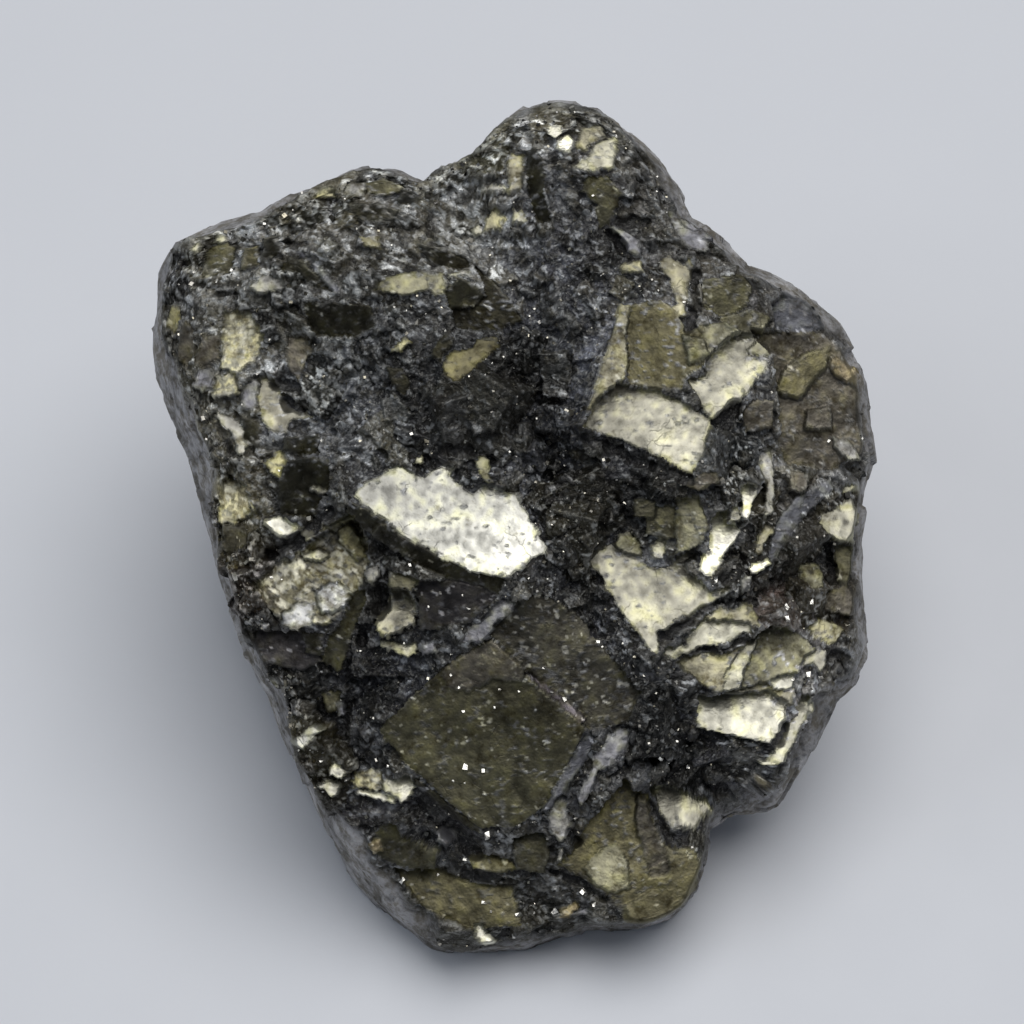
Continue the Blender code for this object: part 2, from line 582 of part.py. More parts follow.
def pyrite_material():
    """Brassy, tarnished pyrite."""
    made = bpy.data.materials.new("pyrite")
    made.use_nodes = True
    shader = made.node_tree.nodes["Principled BSDF"]
    shader.inputs["Base Color"].default_value = PYRITE_COLOUR
    shader.inputs["Roughness"].default_value = PYRITE_ROUGHNESS
    shader.inputs["Metallic"].default_value = PYRITE_METALLIC
    return made


def main():
    for old in list(bpy.data.objects):
        bpy.data.objects.remove(old, do_unlink=True)
    parts = new_collection("pyrite_crystal_part")
    grown = new_collection("grown_crystals")
    cuts = new_collection("pit_cutters")
    ground = new_collection("ground_cutter")
    rock = host_rock(parts)
    for name, tilt, stand, depth, corners in CRYSTALS:
        crystal(name, tilt, stand, depth, corners, grown)
    for name, centre, edges, turns in WALL_CUBES:
        wall_cube(name, centre, edges, turns, grown)
    for name, start, end, width, depth in PITS:
        pit(name, start, end, width, depth, cuts)
    wall_cube("ground", (0.0, 0.0, -20.0), (80.0, 80.0, 40.0), (0.0, 0.0, 0.0), ground)
    add_boolean(rock, "grow", "UNION", grown)
    add_boolean(rock, "pits", "DIFFERENCE", cuts)
    add_boolean(rock, "base", "DIFFERENCE", ground)
    rock.data.materials.append(pyrite_material())
    for tools in (grown, cuts, ground):
        hide_tools(tools)


main()
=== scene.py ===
"""Looks of the pyrite crystal: granular matrix, brassy cubes, fine grains, floor, light and camera.

Layout is given in the frame of the crystal-rich face, in millimetres: u to the right, v up the
slope, w out of the face.  The same values shape the solid.
"""
import math

import bmesh
import bpy
import numpy as np
from mathutils import Matrix, Vector, noise

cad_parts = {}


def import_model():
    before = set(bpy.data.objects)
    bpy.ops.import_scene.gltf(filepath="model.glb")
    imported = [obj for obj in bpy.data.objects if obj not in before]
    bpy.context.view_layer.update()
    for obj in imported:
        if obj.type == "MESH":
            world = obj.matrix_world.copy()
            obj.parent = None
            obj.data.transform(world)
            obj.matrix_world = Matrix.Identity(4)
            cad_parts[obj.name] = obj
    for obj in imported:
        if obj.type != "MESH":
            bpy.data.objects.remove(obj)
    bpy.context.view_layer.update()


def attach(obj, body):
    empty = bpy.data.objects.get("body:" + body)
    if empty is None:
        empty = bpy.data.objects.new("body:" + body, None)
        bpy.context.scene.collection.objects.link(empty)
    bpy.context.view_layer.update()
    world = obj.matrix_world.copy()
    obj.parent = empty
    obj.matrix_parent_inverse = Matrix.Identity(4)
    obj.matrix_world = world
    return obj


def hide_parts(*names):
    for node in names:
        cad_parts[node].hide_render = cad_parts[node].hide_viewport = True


MM = 0.001

# How the crystal-rich face stands over the ground.
FACE_ELEVATION = math.radians(55.0)
FACE_CENTRE_HEIGHT = 9.2
DEPTH_SHIFT = -1.35

# Smooth shape of the host rock.
HOST_CENTRE = (0.2, 0.0, -4.5)
FACE_TOP = 1.25
FACE_DROP_LEFT = 0.008
FACE_DROP_RIGHT = 0.016
FACE_DROP_ENDS = 0.0115
FACE_RIDGE_LINE = -2.0
WALL_TAPER = 0.020
WALL_SPREAD = 0.32
WALL_EASE = 5.0
RIM_DEPTH_LEFT = -3.6
RIM_DEPTH_RIGHT = -2.4
RIM_INSET_LEFT = 0.15
RIM_INSET_RIGHT = 0.05
RIM_TOP = 0.6
RIM_CURVE = 1.3
RIM_REACH = 1.3
RIM_LEAN = math.radians(20.0)
# Rounding (mm) of the solid's edges, and the share of it that the finer mesh keeps.
EDGE_ROUNDING = 0.55
ROUNDING_SHARE = 0.3

# Flat breaks at the rear: (direction, distance from the middle).
REAR_PLANES = (
    ((0.10, 0.94, -0.33), 10.6),
    ((0.72, 0.62, -0.30), 11.6),
    ((-0.66, 0.66, -0.36), 11.2),
    ((0.94, -0.05, -0.34), 12.1),
    ((-0.90, -0.10, -0.42), 11.0),
)

# Lumps and hollows of the face: (u, v, spread, height).
SWELLS = (
    (5.0, 5.2, 2.4, 0.45),
    (6.6, -3.4, 2.4, 0.55),
    (-1.2, -6.4, 2.6, 0.45),
    (-2.2, 0.4, 2.0, 0.35),
    (2.4, 11.6, 1.6, 0.45),
    (-6.0, 8.0, 2.4, 0.25),
    (4.2, -10.6, 1.5, 0.35),
    (-5.6, 3.6, 1.7, -0.3),
    (6.6, -7.6, 1.2, -0.55),
    (-5.0, -5.0, 1.2, -0.45),
    (-2.2, -9.2, 0.8, -0.75),
    (7.0, 1.8, 1.1, -0.45),
)
VALLEY_LINE = (
    (-1.6, 9.2),
    (0.5, 6.1),
    (1.6, 3.0),
    (1.9, 0.6),
    (3.9, -4.2),
    (4.8, -6.4),
    (6.6, -7.8),
)
VALLEY_DEPTH = 0.8
VALLEY_WIDTH = 1.1

# Unevenness of the rock surface: (grain size, height).
ROUGHNESS = (
    (4.6, 0.5),
    (2.2, 0.34),
    (1.1, 0.16),
)
# Share of the unevenness that pushes sideways, and the depth over which it grows to all of it.
SIDEWAYS_SHARE = 0.3
SIDEWAYS_EASE = 3.0
# Beside a crystal the rock is calmer, and laps up to just under the crystal's face.
ROUGHNESS_AT_CRYSTALS = 0.25
ROUGHNESS_REACH = 0.9
BEDDING_GAP = 0.06
BEDDING_FALL = 0.8

# Angular grains of the matrix: (grain size, height), on the face and on the walls, and how much
# each grain slants.
FACE_GRAINS = (
    (0.95, 0.15),
    (0.42, 0.08),
    (0.2, 0.035),
)
WALL_GRAINS = (
    (1.6, 0.1),
    (0.5, 0.035),
)
GRAIN_SLANT = 1.6

# Outline of the crystal-rich face.
OUTLINE = (
    (-11.38, 8.15), (-10.82, 9.18), (-9.92, 9.46), (-7.97, 10.04), (-6.29, 10.73),
    (-4.68, 11.38), (-3.78, 11.38), (-2.79, 10.91), (-1.3, 11.84), (0.4, 13.21),
    (1.02, 13.39), (2.73, 13.24), (3.94, 12.25), (5.24, 10.82), (5.67, 9.8),
    (7.44, 8.28), (8.99, 7.53), (10.26, 6.39), (11.01, 4.87), (11.28, 3.19),
    (11.41, 2.11), (11.16, 1.18), (10.94, -0.37), (11.01, -2.23), (11.07, -4.09),
    (10.79, -4.93), (10.17, -5.43), (9.83, -6.23), (9.11, -7.75), (8.37, -8.8),
    (6.91, -8.96), (6.2, -9.42), (6.01, -10.6), (5.67, -11.69), (4.96, -12.4),
    (3.97, -12.68), (2.42, -12.68), (1.49, -12.93), (0.4, -13.33), (-1.46, -13.45),
    (-2.54, -13.24), (-3.78, -12.31), (-5.18, -10.76), (-6.01, -9.05), (-6.88, -7.19),
    (-7.75, -5.33), (-8.28, -4.43), (-8.8, -3.1), (-9.21, -1.92), (-9.52, -0.53),
    (-9.83, 0.87), (-10.2, 2.17), (-10.91, 3.88), (-11.28, 4.9), (-11.44, 6.45),
)

# Looks of crystal faces: colour of the metal, roughness, share of grime, raggedness (mm), share
# grown over by matrix, share of bright flecks.
LOOKS = {
    # glare is a painted highlight: a colour lighter than the metal's, for the small faces that
    # flash.
    "glare": ((0.738, 0.72, 0.612), 0.44, 0.05, 0.03, 0.02, 0.0),
    "moss": ((0.15, 0.136, 0.08), 0.52, 0.3, 0.03, 0.08, 0.006),
    "khaki": ((0.23, 0.22, 0.15), 0.52, 0.3, 0.04, 0.08, 0.02),
    "steel": ((0.125, 0.128, 0.142), 0.55, 0.3, 0.04, 0.12, 0.05),
    "black": ((0.042, 0.039, 0.027), 0.52, 0.3, 0.04, 0.1, 0.006),
    "deep": ((0.08, 0.075, 0.05), 0.52, 0.3, 0.04, 0.08, 0.006),
    "block": ((0.45, 0.446, 0.401), 0.45, 0.06, 0.04, 0.03, 0.0),
    "plate": ((0.335, 0.323, 0.262), 0.47, 0.12, 0.04, 0.05, 0.0),
    "square": ((0.277, 0.264, 0.207), 0.48, 0.18, 0.04, 0.08, 0.01),
    "white": ((0.47, 0.458, 0.382), 0.45, 0.08, 0.05, 0.02, 0.0),
    "ivory": ((0.445, 0.433, 0.349), 0.46, 0.14, 0.05, 0.03, 0.0),
    "cream": ((0.396, 0.383, 0.297), 0.47, 0.2, 0.05, 0.05, 0.02),
    "silver": ((0.414, 0.418, 0.409), 0.48, 0.35, 0.1, 0.26, 0.1),
    "pale": ((0.352, 0.343, 0.304), 0.5, 0.25, 0.06, 0.1, 0.03),
    "gold": ((0.33, 0.31, 0.195), 0.5, 0.3, 0.06, 0.1, 0.05),
    "glitter": ((0.34, 0.32, 0.215), 0.48, 0.4, 0.1, 0.28, 0.45),
    "streaked": ((0.17, 0.158, 0.11), 0.5, 0.4, 0.08, 0.14, 0.5),
    "dull_gold": ((0.288, 0.27, 0.194), 0.52, 0.34, 0.05, 0.08, 0.02),
    "tan": ((0.27, 0.225, 0.14), 0.53, 0.38, 0.05, 0.1, 0.02),
    "olive": ((0.215, 0.198, 0.11), 0.52, 0.32, 0.04, 0.08, 0.03),
    "brown": ((0.135, 0.122, 0.098), 0.54, 0.36, 0.05, 0.1, 0.01),
    "dark": ((0.112, 0.105, 0.067), 0.52, 0.32, 0.04, 0.08, 0.02),
    "dusty": ((0.094, 0.088, 0.069), 0.54, 0.34, 0.06, 0.16, 0.08),
    "dusk": ((0.068, 0.063, 0.062), 0.54, 0.3, 0.05, 0.08, 0.02),
    "slate": ((0.215, 0.215, 0.23), 0.56, 0.3, 0.06, 0.08, 0.03),
    "grey": ((0.28, 0.275, 0.255), 0.55, 0.3, 0.06, 0.1, 0.05),
    "plum": ((0.16, 0.142, 0.155), 0.56, 0.3, 0.06, 0.1, 0.08),
}

# Crystal faces: name, look, tilt, height over the rock, corners.  A row's number seeds its noise.
CRYSTALS = (
    ("corner_olive", "dark", (-0.1, 0.15), 0.1,
     ((-9.6, 7.7), (-9.5, 8.5), (-8.9, 8.95), (-8.5, 8.6), (-8.7, 7.9))),
    ("corner_olive_b", "moss", (-0.05, 0.1), 0.1,
     ((-8.4, 8), (-8.3, 8.65), (-7.8, 8.7), (-7.8, 8.1))),
    ("corner_cream", "cream", (0.05, 0.36), 0.15,
     ((-9.15, 8.75), (-9.05, 9.05), (-8.8, 9), (-8.7, 8.8), (-8.9, 8.7))),
    ("corner_chip", "cream", (0.05, 0.36), 0.12,
     ((-9.85, 8.5), (-9.6, 8.8), (-9.45, 8.6), (-9.7, 8.4))),
    ("north_dark", "black", (0.15, -0.15), 0.25,
     ((-7.7, 8.95), (-7.2, 9.05), (-7.1, 8.6), (-7.4, 8.2), (-7.75, 8.3))),
    ("north_pale", "grey", (0.02, 0.38), 0.2,
     ((-8.15, 7.45), (-7.6, 7.8), (-7.05, 7.7), (-6.95, 7.4), (-7.4, 7.25), (-7.9, 7.25))),
    ("north_wedge", "black", (-0.1, 0.02), 0.2,
     ((-7.2, 7.95), (-6.9, 8.4), (-6.5, 8.3), (-5.9, 7.75), (-5.4, 7.25), (-6.1, 7.4),
      (-6.6, 7.9))),
    ("north_ridge", "steel", (0, 0.3), 0.22,
     ((-7, 8.45), (-6.6, 8.62), (-6.1, 8.3), (-5.5, 7.6), (-5.25, 7.2), (-5.45, 7.2),
      (-5.75, 7.55), (-6.2, 8.12), (-6.6, 8.42))),
    ("rim_yellow", "gold", (0, 0.2), 0.1,
     ((-6, 10.1), (-5.9, 10.45), (-5.4, 10.4), (-5.4, 10.1))),
    ("hump_top", "dark", (0.05, 0.15), 0.15,
     ((-4.6, 10.65), (-3.9, 10.8), (-3.4, 10.6), (-3.2, 10.4), (-3.9, 10.25), (-4.5, 10.3))),
    ("hump_grey", "grey", (0, 0.3), 0.1,
     ((-5.25, 10.3), (-4.9, 10.7), (-4.5, 10.6), (-4.55, 10.2), (-5, 10.15))),
    ("hump_olive", "black", (-0.05, 0.04), 0.2,
     ((-5.1, 10.05), (-4, 10.05), (-3.4, 9.8), (-3.6, 9.5), (-4.6, 9.45), (-5.1, 9.75))),
    ("hump_dark", "black", (0.1, -0.2), 0.15,
     ((-3.6, 10.1), (-3.4, 10.45), (-3, 10.4), (-2.95, 10.05), (-3.3, 9.95))),
    ("hump_small", "olive", (0, 0.22), 0.15,
     ((-4.75, 9), (-4.1, 9.05), (-4.05, 8.6), (-4.5, 8.65))),
    ("olive_strip", "black", (0.1, -0.1), 0.25,
     ((-2.9, 8.85), (-2.2, 8.7), (-1.4, 8.3), (-1.3, 8), (-2.3, 8.05), (-2.7, 8.35))),
    ("pale_strip", "khaki", (0.05, 0.34), 0.2,
     ((-4.1, 7.6), (-3.4, 7.9), (-3, 7.95), (-2.4, 7.75), (-2.1, 7.95), (-2.05, 7.3),
      (-2.4, 7.15), (-2.6, 7.35), (-3.4, 7.15), (-4.2, 7.35))),
    ("dark_slope", "black", (-0.05, 0.08), 0.15,
     ((-1.3, 8.2), (-0.6, 7.7), (0, 7), (0.35, 6.4), (-0.4, 6.1), (-1.7, 6.15), (-1.9, 6.7),
      (-0.8, 7.2))),
    ("dark_cube", "deep", (0.12, -0.24), 0.35,
     ((-2.1, 7.3), (-1.7, 7.75), (-1.3, 7.6), (-0.85, 7.2), (-1.2, 6.85), (-1.9, 6.75))),
    ("dark_cube_edge", "pale", (0, 0.32), 0.36,
     ((-2, 7.85), (-1.5, 7.98), (-1.1, 7.65), (-1.5, 7.75), (-2, 7.7))),
    ("gold_bar", "dull_gold", (0.02, 0.34), 0.2,
     ((-0.2, 11.3), (0, 11.6), (0.35, 11.5), (0.32, 10.4), (-0.12, 10.35))),
    ("top_upright", "black", (-0.3, -0.15), 0.25,
     ((0.4, 11.7), (0.7, 11.8), (1.05, 11.3), (0.98, 10.4), (1.25, 9.5), (0.8, 9.4),
      (0.5, 10.3))),
    ("gold_patch", "gold", (-0.02, 0.32), 0.2,
     ((-0.85, 9.6), (-0.5, 9.95), (-0.15, 9.6), (-0.3, 9.25), (-0.9, 9.15))),
    ("gold_chip", "cream", (0, 0.36), 0.15,
     ((-1.3, 9.25), (-1, 9.42), (-0.85, 9.15), (-1.15, 9))),
    ("beige_patch", "cream", (0.05, 0.3), 0.15,
     ((0, 9.4), (0, 9.9), (0.42, 9.85), (0.45, 9.4))),
    ("north_line", "pale", (0, 0.34), 0.2,
     ((-0.95, 10.55), (-0.2, 10.62), (-0.1, 10.42), (-0.95, 10.32))),
    ("top_olive", "dark", (0.1, -0.02), 0.15,
     ((2.3, 10.9), (3, 10.9), (3.4, 10.4), (3.3, 9.9), (3, 9.4), (2.7, 9.3), (2.6, 10),
      (2.15, 10.4))),
    ("top_back", "dull_gold", (0.05, 0.2), 0.25,
     ((1.95, 11.8), (2.1, 12.4), (2.7, 12.45), (2.95, 12.1), (2.4, 11.9), (2.3, 11.6))),
    ("top_ledge", "cream", (0.06, 0.38), 0.4,
     ((1.85, 11.15), (2.35, 11.5), (2.5, 11.9), (3, 12.08), (3.25, 12.1), (3.2, 11.4),
      (3.15, 11.1), (2.3, 11.05))),
    ("top_cap", "glare", (0.06, 0.38), 0.35,
     ((1.05, 12.25), (1.15, 12.6), (1.5, 12.55), (1.6, 12.25), (1.3, 12.1))),
    ("top_blob", "glare", (0.1, 0.4), 0.5,
     ((1.35, 11.75), (1.45, 12.1), (1.75, 12.2), (1.97, 12), (1.9, 11.7), (1.6, 11.58))),
    ("edge_sliver", "slate", (0.12, 0.3), 0.2,
     ((3, 9.3), (3.2, 9.42), (3.95, 8.9), (4, 8.45), (3.65, 8.5), (3.2, 9.12))),
    ("shoulder_slate", "slate", (0.08, 0.28), 0.1,
     ((4.75, 9.9), (5.4, 9.65), (6.25, 9), (6, 8.55), (5.4, 8.75), (5, 9.3))),
    ("far_dull", "gold", (0.05, 0.3), 0.2,
     ((3.3, 8.15), (4, 8.28), (4.1, 7.92), (3.4, 7.88))),
    ("pale_upright", "dull_gold", (0.1, 0.34), 0.28,
     ((4.5, 8.2), (4.9, 8.45), (5.3, 8.15), (5.5, 8.42), (5.62, 7.9), (5.48, 7.5),
      (5.4, 6.5), (5, 6.45), (5, 7.2), (4.85, 7.7))),
    ("far_olive", "dark", (0.08, 0.02), 0.3,
     ((5.9, 7.7), (7, 7.9), (7.5, 7.5), (7.3, 6.9), (6.6, 6.5), (5.9, 6.8))),
    ("far_olive_side", "dark", (0.14, 0.14), 0.18,
     ((6.3, 6.5), (7.4, 6.8), (8, 6.5), (7.8, 6), (6.8, 5.95))),
    ("far_slate", "steel", (0.16, 0.12), 0.1,
     ((8, 6.9), (8.6, 7.4), (9.4, 7), (9.8, 6.2), (9, 6), (8.2, 6.2))),
    ("rim_olive", "olive", (-0.1, 0.26), 0.1,
     ((-10.65, 6.2), (-10.55, 6.9), (-10.25, 6.9), (-10.15, 6.3), (-10.4, 6))),
    ("rim_brown", "brown", (-0.12, 0.0), 0.15,
     ((-10.4, 5.2), (-10.3, 6), (-10.1, 6.4), (-9.8, 6.2), (-9.7, 5.5), (-10, 5))),
    ("rim_brown_b", "brown", (-0.1, 0.1), 0.1,
     ((-9.8, 5.1), (-9.6, 5.9), (-9.1, 6), (-9, 5.3), (-9.4, 4.95))),
    ("rim_beige", "slate", (-0.06, 0.32), 0.1,
     ((-9.85, 4.3), (-9.7, 4.9), (-9.3, 4.95), (-9.2, 4.4), (-9.5, 4.15))),
    ("spark_face", "glitter", (-0.02, 0.36), 0.15,
     ((-9.05, 4.9), (-8.9, 6.7), (-8.1, 6.7), (-7.6, 5.9), (-8, 5.1), (-8.5, 4.75))),
    ("spark_low", "glitter", (-0.06, 0.32), 0.1,
     ((-9.2, 4), (-9.1, 4.8), (-8.5, 4.75), (-8.4, 4.1))),
    ("blue_face", "slate", (-0.04, 0.32), 0.1,
     ((-8.4, 3.7), (-8.3, 4.5), (-7.85, 4.55), (-7.8, 3.9), (-8, 3.6))),
    ("rim_cream", "pale", (-0.02, 0.38), 0.22,
     ((-9.15, 3.65), (-8.9, 3.55), (-8.45, 3.35), (-8.2, 3), (-8.15, 2.5), (-8.25, 2.15),
      (-8.5, 2.35), (-8.7, 2.9), (-9.1, 3.4))),
    ("rim_grey", "black", (-0.1, 0.05), 0.15,
     ((-8.4, 3.5), (-8, 3.4), (-7.7, 3.1), (-7.8, 2.4), (-8.2, 2.6), (-8.3, 3.1))),
    ("cream_upright", "square", (0, 0.4), 0.22,
     ((-7.75, 4.65), (-7.3, 4.55), (-7.1, 4.1), (-6.9, 3.75), (-6.1, 3.4), (-6.8, 3.3),
      (-6.9, 2.95), (-7.1, 2.9), (-7.5, 3), (-7.75, 3.4), (-7.85, 4))),
    ("brown_chip", "brown", (-0.08, 0.2), 0.2,
     ((-6.9, 5.9), (-6.3, 5.9), (-6.15, 5.5), (-6.4, 4.9), (-6.6, 4.45), (-6.9, 4.9),
      (-7, 5.4))),
    ("brown_square", "black", (-0.1, -0.22), 0.25,
     ((-6.4, 7), (-4.4, 6.9), (-4.2, 6.2), (-4.9, 5.9), (-6, 5.9), (-6.3, 6.2))),
    ("west_shade", "black", (-0.1, -0.05), 0.12,
     ((-7.1, 2.3), (-7, 2.8), (-5.9, 2.9), (-5.8, 2.25))),
    ("dark_olive", "black", (-0.22, -0.2), 0.35,
     ((-6.95, 2.1), (-6.3, 2.2), (-5.6, 2.1), (-5.5, 1.2), (-5.8, 0.8), (-6.1, 0.3),
      (-7.1, 0.4), (-7.2, 1.3))),
    ("dark_olive_edge", "pale", (0, 0.3), 0.36,
     ((-6.2, 1.28), (-5.65, 1.15), (-5.6, 1), (-6.2, 1.12))),
    ("cream_olive", "gold", (0, 0.36), 0.2,
     ((-7.65, 2), (-7.2, 2.4), (-6.9, 2.2), (-7.05, 1.95), (-7.1, 1.55), (-7.45, 1.7))),
    ("rim_gold", "glitter", (0, 0.36), 0.12,
     ((-9.1, 0.2), (-9, 1.3), (-8.6, 1.6), (-8.1, 1.3), (-8, 0.5), (-8.5, 0.1))),
    ("rim_gold_low", "black", (-0.05, 0.3), 0.1,
     ((-8.9, -0.6), (-8.8, 0.1), (-8.1, 0.1), (-8, -0.5), (-8.5, -0.8))),
    ("white_chip", "glare", (0.1, 0.42), 0.22,
     ((-7.65, 0.2), (-7.3, 0.38), (-6.9, 0.27), (-6.3, 0), (-6.7, -0.12), (-6.9, -0.28),
      (-7.1, -0.26), (-7.35, -0.05))),
    ("ring_chip", "cream", (0.06, 0.38), 0.15,
     ((-6.5, -0.15), (-6.3, -0.02), (-5.98, -0.2), (-6.3, -0.42))),
    ("small_dull", "gold", (0, 0.32), 0.15,
     ((-3.75, 5.4), (-3.3, 5.9), (-3.1, 5.7), (-3.4, 5.42))),
    ("small_olive", "black", (0, 0.1), 0.15,
     ((-2.6, 5.3), (-2.1, 5.95), (-1.85, 5.7), (-2.2, 5.1))),
    ("pale_block", "moss", (0.05, 0.34), 0.28,
     ((-2.2, 5), (-1.9, 5.38), (-1.2, 5.62), (-1.1, 5.85), (-0.5, 5.9), (-0.4, 5.6),
      (-0.85, 5.2), (-1.2, 4.88), (-1.5, 4.6), (-1.8, 4.45), (-2.1, 4.8))),
    ("ochre_chip", "black", (0.05, 0.05), 0.2,
     ((-3.9, 4.95), (-3.4, 4.92), (-3.05, 4.5), (-3.3, 4.1), (-3.75, 4.4))),
    ("beige_chip", "khaki", (0.05, 0.3), 0.15,
     ((-1.15, 2.05), (-0.9, 2.25), (-0.68, 2.1), (-0.68, 1.6), (-0.5, 1.38), (-0.8, 1.35),
      (-1.05, 1.8))),
    ("cream_chip", "cream", (0.05, 0.4), 0.15,
     ((-3.02, 1.95), (-2.95, 2.22), (-2.72, 2.25), (-2.68, 1.98))),
    ("block_side", "black", (0.1, -0.3), 0.12,
     ((-5, 0.9), (-4.4, 0.6), (-3.7, 0.15), (-2.9, -0.4), (-2.1, -0.9), (-0.8, -1.4),
      (-0.2, -1.5), (-0.4, -2), (-1.6, -1.7), (-2.8, -1.1), (-4.2, -0.3), (-5.05, 0.5))),
    ("bright_block", "block", (0.18, 0.4), 0.45,
     ((-4.85, 1), (-4.4, 1.45), (-3.9, 1.7), (-3.5, 1.95), (-3.3, 1.85), (-3, 1.65),
      (-2.7, 1.6), (-2.4, 1.85), (-1.95, 1.95), (-1.8, 1.9), (-1.9, 1.6), (-1.5, 1.3),
      (-1.2, 1.05), (-1, 1.25), (-0.6, 1.3), (0.1, 1), (0.4, 0.6), (0.65, 0.15),
      (0.8, -0.1), (1.08, -0.55), (1, -0.78), (0.6, -0.95), (0.35, -1.22), (-0.2, -1.52),
      (-0.8, -1.42), (-1.35, -1.32), (-1.6, -1.12), (-2.1, -0.97), (-2.5, -0.62),
      (-2.9, -0.47), (-3.3, -0.3), (-3.7, 0.13), (-4, 0.35), (-4.4, 0.6))),
    ("olive_gold", "moss", (-0.06, 0.18), 0.32,
     ((3.35, 6.4), (3.75, 6.95), (4.6, 7.1), (5.1, 6.7), (5.4, 6.15), (6.0, 6.3), (6.25, 5.95),
      (6.0, 5.5), (5.95, 5.0), (5.4, 4.75), (5.2, 4.25), (4.3, 4.28), (3.6, 4.42), (3.5, 5.3))),
    ("gold_dust", "khaki", (0.0, 0.28), 0.36,
     ((5.95, 6.25), (6.6, 6.35), (7.1, 6.05), (6.5, 5.75), (6.0, 5.2), (5.7, 5.0), (5.65, 5.6))),
    ("gold_notch", "khaki", (0.05, 0.28), 0.4,
     ((7.2, 5.38), (7.5, 5.9), (8.0, 6.0), (8.1, 5.4), (7.75, 5.28))),
    ("olive_gold_left", "dull_gold", (-0.1, 0.3), 0.34,
     ((3.3, 6.95), (3.68, 6.92), (3.5, 5.9), (3.62, 5.2), (3.42, 4.5), (2.9, 4.25),
      (2.3, 3.5), (2.75, 4.9))),
    ("brown_right", "khaki", (0.1, 0.1), 0.15,
     ((5.42, 5), (5.25, 5.95), (5.9, 5.8), (6.05, 5.3))),
    ("bright_square", "plate", (-0.02, 0.42), 0.42,
     ((2.15, 3.1), (2.6, 3.95), (3.3, 4.5), (3.9, 4.3), (4.6, 4.22), (5.2, 3.92), (6.15, 3.3),
      (5.85, 2.3), (5.5, 1.66), (4.9, 1.95), (4.1, 2.38), (3.2, 2.75))),
    ("arrow_block", "plate", (0.08, 0.42), 0.45,
     ((5.35, 4.6), (5.5, 4.68), (6, 4.68), (6, 5.2), (6.5, 5.72), (6.9, 5.98), (7.65, 5.98),
      (7.4, 5.6), (7.2, 5.42), (7.6, 5.22), (7.88, 5.22), (7.92, 5), (7.5, 4.48),
      (7.35, 4.18), (7, 3.93), (6.5, 3.58), (6.3, 3.36), (6.08, 3.36), (5.88, 3.7),
      (5.68, 4.1))),
    ("grey_chip", "brown", (0.05, 0.15), 0.15,
     ((5.2, 1.3), (5.6, 1.62), (6.1, 1.72), (6.25, 1.4), (5.6, 1.1))),
    ("right_mass", "brown", (0.14, 0.06), 0.1,
     ((7.3, 6.1), (8.3, 6.1), (9.7, 6.1), (10.5, 5.3), (10.9, 4.2), (10.95, 2.3), (9.9, 1.8),
      (8.5, 2.0), (8.2, 2.8), (8.3, 4.1), (8.0, 5.3))),
    ("right_shoulder", "moss", (0.18, 0.12), 0.25,
     ((8.2, 4.3), (8.5, 5), (9, 5.4), (9.95, 5.7), (9.8, 5), (9.25, 4.4), (9, 4),
      (8.4, 4.12))),
    ("right_corner", "tan", (0.14, 0.18), 0.2,
     ((9.85, 5.35), (10.4, 5.2), (10.85, 4.8), (10.72, 4.45), (10.3, 4.55), (9.9, 4.85))),
    ("right_step", "brown", (0.12, 0.14), 0.15,
     ((9.05, 3.05), (9.15, 3.65), (9.9, 3.75), (9.95, 3.05))),
    ("right_facet", "grey", (0.12, 0.26), 0.15,
     ((9.85, 2.9), (10.5, 2.65), (10.85, 2.1), (10.4, 2.05), (10.05, 2.4))),
    ("right_dull", "brown", (0.1, 0.08), 0.15,
     ((7, 3.5), (7.4, 3.95), (8.1, 3.95), (8, 3.05), (7.2, 2.9))),
    ("long_pale", "pale", (0.1, 0.3), 0.2,
     ((7.6, 2.4), (8, 2.35), (8.15, 1.6), (8.05, 0.45), (7.8, 0.35), (7.78, 1.4), (7.6, 2))),
    ("grey_middle", "brown", (0.1, 0.28), 0.1,
     ((8.55, 1.15), (8.6, 1.75), (9.15, 1.7), (9.15, 1.05))),
    ("gray_ledge", "steel", (0.15, 0.16), 0.3,
     ((9.9, 1.55), (10.05, 1.25), (9.25, 0.5), (8.75, -0.1), (8.35, -0.6), (8, -1.25),
      (7.9, -0.9), (8.15, 0.2), (8.8, 1))),
    ("east_dash", "cream", (0.1, 0.38), 0.15,
     ((10.2, 1.08), (10.3, 1.32), (10.9, 1.32), (10.9, 1.1))),
    ("east_cream", "plate", (0.12, 0.38), 0.25,
     ((9.55, 0.4), (10.2, 0.75), (10.5, 0.92), (10.88, 0.4), (10.8, 0), (10.6, -0.42),
      (10.1, -0.42), (9.8, -0.2), (9.5, 0.1))),
    ("east_red", "dark", (0.12, 0.15), 0.1,
     ((10, -0.5), (10.6, -0.5), (10.6, -1.3), (10.4, -1.9), (10.1, -1.6))),
    ("east_dull", "khaki", (0.1, 0.2), 0.2,
     ((8.95, -1.1), (9.4, -1.05), (9.7, -1.4), (9.7, -1.8), (9.3, -1.92), (8.88, -1.5))),
    ("east_grey", "brown", (0.15, 0.15), 0.1,
     ((9.6, -2), (9.7, -2.6), (10.6, -2.8), (10.7, -1.9), (10.2, -1.8))),
    ("east_gold", "gold", (0.08, 0.34), 0.2,
     ((9.15, -3.1), (9.6, -2.78), (10.1, -2.95), (10.35, -3.2), (10.1, -3.52), (9.8, -3.62),
      (9.4, -3.35))),
    ("steps_grey", "dark", (0, 0.06), 0.15,
     ((4.05, -0.25), (4.1, 0.65), (5, 0.65), (5, -0.35))),
    ("steps_dull", "khaki", (-0.02, 0.12), 0.2,
     ((5, 0.9), (5.7, 0.95), (6, 0.1), (5.9, -0.4), (5.4, -0.7), (5, -0.8))),
    ("steps_left", "deep", (-0.04, 0.16), 0.18,
